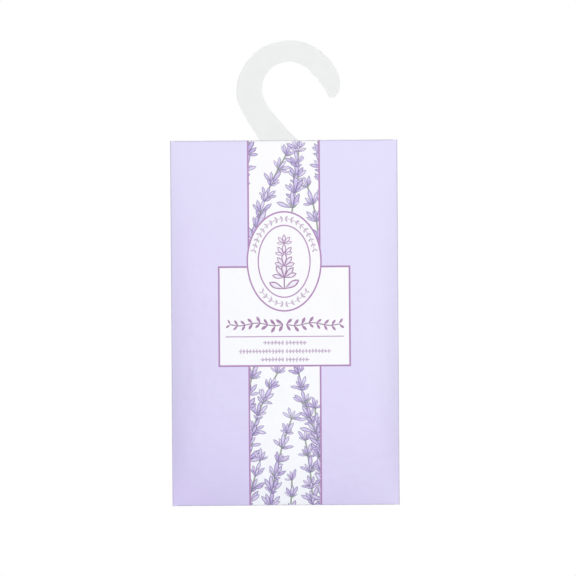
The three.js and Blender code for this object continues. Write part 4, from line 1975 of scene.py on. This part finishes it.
@dataclass
class FilmHook:
    """The hook and its base, die-cut out of one film with a crease between them.

    Lengths are millimetres, and angles are degrees. A lean is measured from straight up, and a
    reach says how far a curve runs on before it turns to the next one.
    """

    thickness: float = 0.45
    crown_width: float = 10.7
    outer_radius: float = 26.8
    inner_radius: float = 13.8
    rise: float = 40.0
    stem_left: float = 15.2
    stem_right: float = 4.2
    stem_lean: float = 30.5
    stem_reach: float = 16.0
    crown_reach: float = 5.0
    cheek_start: float = 25.0
    cheek_reach: float = 7.0
    nose_inset: float = 5.5
    nose_drop: float = 2.3
    nose_reach: float = 4.2
    nose_corner: Pair = (1.6, 1.4)
    corner_share: float = 0.6
    corner_lean: float = 20.0
    corner_reach: float = 0.9
    flank_lean: float = 29.0
    flank_reach: float = 7.5
    arch_end: float = 62.0
    arch_start: float = 205.0
    arch_reach: float = 4.5
    flare_lean: float = 43.0
    flare_reach: float = 6.0
    crease_drop: float = 1.0
    crease_half: float = 0.7
    crease_depth: float = 0.09
    crease_cuts: int = 6
    crease_taper: float = 1.6
    base_offset: float = -2.95
    base_width: float = 26.0
    base_height: float = 25.0
    base_shoulder: float = 5.0
    shoulder_reach: float = 2.6
    shoulder_leave: Pair = (2.6, -0.4)
    shoulder_arrive: Pair = (0.6, 0.5)
    base_corner: float = 4.0
    edge_round: float = 0.07
    closest: float = 0.02
    flattest: float = 0.99
    steps: int = 26

    @property
    def crease(self) -> float:
        """Height of the crease."""
        return -self.rise - self.crease_drop

    def build(self, film: Material) -> Piece:
        """Builds the film as one flat piece, pressed thinner along its crease.

        Args:
            film: Finish of the film.

        Returns:
            The finished piece.
        """
        cut = self._cut_out()
        for step in range(-self.crease_cuts, self.crease_cuts + 1):
            height = self.crease + self.crease_half * step / self.crease_cuts
            bmesh.ops.bisect_plane(
                cut,
                geom=[*cut.verts, *cut.edges, *cut.faces],
                plane_co=(0.0, 0.0, height * MM),
                plane_no=(0.0, 0.0, 1.0),
            )
        for vert in cut.verts:
            off = abs(vert.co.z / MM - self.crease) / self.crease_half
            pressed = self.crease_depth / (self.thickness / 2)
            vert.co.y *= 1 - pressed * max(0.0, 1 - off * self.crease_taper)
        bmesh.ops.triangulate(cut, faces=[face for face in cut.faces if len(face.verts) > 4])
        bmesh.ops.recalc_face_normals(cut, faces=cut.faces)
        for face in cut.faces:
            face.smooth = abs(face.normal.y) < self.flattest
        piece = edited_object("film_hook", cut, [film])
        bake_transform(piece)
        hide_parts("hook", "hook_base")
        report(piece)
        return piece

    def _cut_out(self) -> bmesh.types.BMesh:
        """Cuts the outline out of film of its real thickness.

        Returns:
            The film, with its cut edges slightly rounded.
        """
        cut = bmesh.new()
        front = -self.thickness * MM / 2
        cap = cut.faces.new([cut.verts.new((x * MM, front, z * MM)) for x, z in self._outline()])
        rim = list(cap.edges)
        grown = bmesh.ops.extrude_face_region(cut, geom=[cap], use_keep_orig=True)["geom"]
        for element in grown:
            if isinstance(element, bmesh.types.BMVert):
                element.co.y += self.thickness * MM
        rim += [element for element in grown if isinstance(element, bmesh.types.BMEdge)]
        rounded = {"offset": self.edge_round * MM, "segments": 2, "profile": 0.5}
        bmesh.ops.bevel(cut, geom=rim, affect="EDGES", clamp_overlap=True, **rounded)
        return cut

    def _outline(self) -> Course:
        """Draws the film's outline.

        Returns:
            Its points, clockwise as the front is seen, each apart from its neighbours.
        """
        outer_z = self.crown_width - self.outer_radius
        inner_z = -self.inner_radius
        tip = (self.outer_radius - self.nose_inset, outer_z - self.nose_drop)
        corner = (tip[0] - self.nose_corner[0], tip[1] + self.nose_corner[1])
        arch_turn = math.radians(self.arch_end)
        arch = (
            self.inner_radius * math.cos(arch_turn),
            inner_z + self.inner_radius * math.sin(arch_turn),
        )
        crease_left, crease_right = (
            sign * edge + self.crease_drop * math.tan(math.radians(lean))
            for sign, edge, lean in (
                (-1, self.stem_left, self.stem_lean),
                (1, self.stem_right, self.flare_lean),
            )
        )
        left, right = (self.base_offset + sign * self.base_width / 2 for sign in (-1, 1))
        shoulder = self.crease - self.base_shoulder
        bottom = self.crease - self.base_height
        round_off, lean, reach = self.base_corner, self._lean, self.shoulder_reach

        outline = Outline(self.steps)
        outline.line_to(crease_left, self.crease)
        outline.line_to(-self.stem_left, -self.rise)
        left_crown = (-self.outer_radius, outer_z)
        outline.curve_to(lean(-self.stem_lean, self.stem_reach), left_crown, (0, self.crown_reach))
        outline.arc((0, outer_z), self.outer_radius, 180, self.cheek_start)
        cheek = lean(180 - self.cheek_start, self.cheek_reach)
        outline.curve_to(cheek, tip, (-self.nose_reach, 0))
        nose = (-self.nose_corner[0] * self.corner_share, 0)
        outline.curve_to(nose, corner, lean(-self.corner_lean, self.corner_reach))
        flank = lean(-self.flank_lean, self.flank_reach)
        outline.curve_to(flank, arch, lean(-self.arch_end, self.arch_reach))
        outline.arc((0, inner_z), self.inner_radius, self.arch_end, self.arch_start)
        flare = lean(180 - self.flare_lean, self.flare_reach)
        stem_right = (self.stem_right, -self.rise)
        outline.curve_to(lean(360 - self.arch_start, self.flare_reach), stem_right, flare)
        outline.line_to(crease_right, self.crease)
        outline.curve_to(self.shoulder_leave, (right, shoulder), (0, -reach))
        outline.line_to(right, bottom + round_off)
        outline.arc((right - round_off, bottom + round_off), round_off, 0, -90)
        outline.line_to(left + round_off, bottom)
        outline.arc((left + round_off, bottom + round_off), round_off, -90, -180)
        outline.line_to(left, shoulder)
        outline.curve_to((0, reach), (crease_left, self.crease), self.shoulder_arrive)
        kept = [outline.points[0]]
        for point in outline.points[1:]:
            if min(math.dist(point, kept[-1]), math.dist(point, kept[0])) > self.closest:
                kept.append(point)
        return kept

    @staticmethod
    def _lean(degrees: float, length: float) -> Pair:
        """Returns a step that leans a number of degrees from straight up, to the right."""
        return (length * math.sin(math.radians(degrees)), length * math.cos(math.radians(degrees)))


@dataclass(frozen=True)
class SoftBox:
    """A square studio lamp: its name, its place, the length of its side and its watts."""

    name: str
    place: Triple
    size: float
    power: float


@dataclass
class Studio:
    """A pale floor, soft lamps and a camera that looks as the photograph's did."""

    frame_width: float = 291.7 * MM
    aim: Pair = (-1.25 * MM, -114.9 * MM)
    distance: float = 1.6
    roll: float = 0.0068
    sensor: float = 36.0
    lamps: tuple[SoftBox, ...] = (
        SoftBox("key_soft_box", (0.077, -1.0, 0.12), 0.8, 6.5),
        SoftBox("back_soft_box", (0.0, 1.3, 0.4), 1.0, 12.0),
    )
    lamp_tint: Triple = (1.0, 0.995, 1.005)
    ambient: float = 0.305
    ambient_lean: Triple = (-0.05, -0.5, 0.2)
    room_tint: Triple = (0.98, 0.985, 1.055)
    floor_drop: float = 200 * MM
    floor_radius: float = 0.4
    floor_corners: int = 96
    floor_fade: Pair = (0.45, 0.97)

    def build(self, plane: float, foot: float) -> None:
        """Sets up the whole studio.

        Args:
            plane: Place along Y of the plane that the frame's width is measured in.
            foot: Height of the object's lowest point.
        """
        self._world()
        self._floor(foot - self.floor_drop)
        self._camera(plane)
        for lamp in self.lamps:
            self._hang(lamp)
        bpy.context.scene.view_settings.view_transform = "Standard"

    def _camera(self, plane: float) -> None:
        """Places the camera square to the front, with the photograph's slight roll.

        Args:
            plane: Place along Y of the plane that the frame's width is measured in.
        """
        data = bpy.data.cameras.new("camera")
        data.sensor_width = self.sensor
        data.lens = self.sensor * self.distance / self.frame_width
        camera = link_object("camera", data)
        camera.location = (self.aim[0], plane - self.distance, self.aim[1])
        camera.rotation_euler = (math.pi / 2, self.roll, 0.0)
        bpy.context.scene.camera = camera

    def _hang(self, soft_box: SoftBox) -> None:
        """Hangs one lamp so that it faces the pouch.

        Args:
            soft_box: The lamp.
        """
        data = bpy.data.lights.new(soft_box.name, "AREA")
        data.size, data.energy, data.color = soft_box.size, soft_box.power, self.lamp_tint
        lamp = link_object(soft_box.name, data)
        lamp.location = soft_box.place
        towards = Vector((self.aim[0], 0.0, self.aim[1])) - Vector(soft_box.place)
        lamp.rotation_euler = towards.to_track_quat("-Z", "Y").to_euler()

    def _world(self) -> None:
        """Makes the world white to the camera, to gloss and through film, and mild to the rest."""
        world = bpy.data.worlds.new("studio_white")
        bpy.context.scene.world = world
        world.use_nodes = True
        world.node_tree.nodes.clear()
        nodes = NodeTree(world.node_tree)
        ray = nodes.add("ShaderNodeLightPath").node.outputs
        seen = ray["Is Camera Ray"]
        for name in ("Is Glossy Ray", "Is Transmission Ray"):
            seen = nodes.add(MATH, seen, ray[name], operation="MAXIMUM")
        facing = nodes.add("ShaderNodeTexCoord", out="Generated")
        lean = nodes.add(
            VECTOR_MATH, facing, self.ambient_lean, operation="DOT_PRODUCT", out="Value"
        )
        room = nodes.add(MATH, lean, self.ambient, self.ambient, operation="MULTIPLY_ADD")
        strength = nodes.add(MAP_RANGE, {"Value": seen, "To Min": room, "To Max": 1.0})
        tints = {0: seen, MIX_A: (*self.room_tint, 1.0), MIX_B: (1.0, 1.0, 1.0, 1.0)}
        tint = nodes.add(MIX, tints, **COLOUR_MIX)
        nodes.add("ShaderNodeOutputWorld", nodes.add("ShaderNodeBackground", tint, strength))

    def _floor(self, height: float) -> None:
        """Lays a round pale floor that fades into the white at its rim.

        Args:
            height: Height of the floor.
        """
        disc = bmesh.new()
        bmesh.ops.create_circle(
            disc, cap_ends=True, radius=self.floor_radius, segments=self.floor_corners
        )
        material = Finish("painted_board", "#F4F4F4", roughness=0.9).material()
        floor = edited_object("floor", disc, [material])
        floor.data.transform(Matrix.Translation((0.0, 0.0, height)))
        nodes = NodeTree(material.node_tree)
        place = nodes.add("ShaderNodeTexCoord", out="Object")
        level = nodes.add(VECTOR_MATH, place, (1.0, 1.0, 0.0), operation="MULTIPLY")
        reach = nodes.add(VECTOR_MATH, level, operation="LENGTH", out="Value")
        rim = (self.floor_radius * share for share in self.floor_fade)
        fade = nodes.add(MAP_RANGE, reach, *rim, interpolation_type="SMOOTHSTEP")
        camera_ray = nodes.add("ShaderNodeLightPath", out="Is Camera Ray")
        blend = nodes.add(MATH, fade, camera_ray, operation="MULTIPLY")
        white = nodes.add("ShaderNodeEmission", (1.0, 1.0, 1.0, 1.0), 1.0)
        board = nodes.tree.nodes["Principled BSDF"].outputs[0]
        mixed = nodes.add("ShaderNodeMixShader", blend, board, white)
        nodes.feed(nodes.tree.nodes["Material Output"].inputs["Surface"], mixed)


def dress_solids(nodes: dict[str, Piece]) -> None:
    """Gives the carried-over solids their real finish.

    Args:
        nodes: The frame's nodes by name.
    """
    paste, tape = DriedPaste().material(), TransferTape().material()
    finishes = {
        "centre_seam_glue": paste,
        "hook_tape": tape,
        "bottom_flap_glue": paste,
        "top_flap_glue": paste,
    }
    for name, material in finishes.items():
        for slot in nodes[name].material_slots:
            slot.material = material
        logger.info("%s: dressed in %s", name, material.name)


def main() -> None:
    """Builds the sachet round its frame."""
    logging.basicConfig(level=logging.INFO, format="%(name)s: %(message)s")
    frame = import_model()
    layout = PrintLayout()
    envelope = Envelope()
    sheet = envelope.build(PrintedPaper(layout=layout).material(), PlainPaper().material())
    paper = BVHTree.FromObject(sheet, bpy.context.evaluated_depsgraph_get())
    Filling(paper, envelope).build(Vermiculite().material())
    printer = Printer(envelope, paper, layout)
    BandPrint(printer).build()
    LabelPrint(printer).build()
    FilmHook().build(FrostedFilm().material())
    dress_solids(frame["nodes"])
    Studio().build(envelope.head.y, envelope.low.z)


if __name__ == "__main__":
    main()
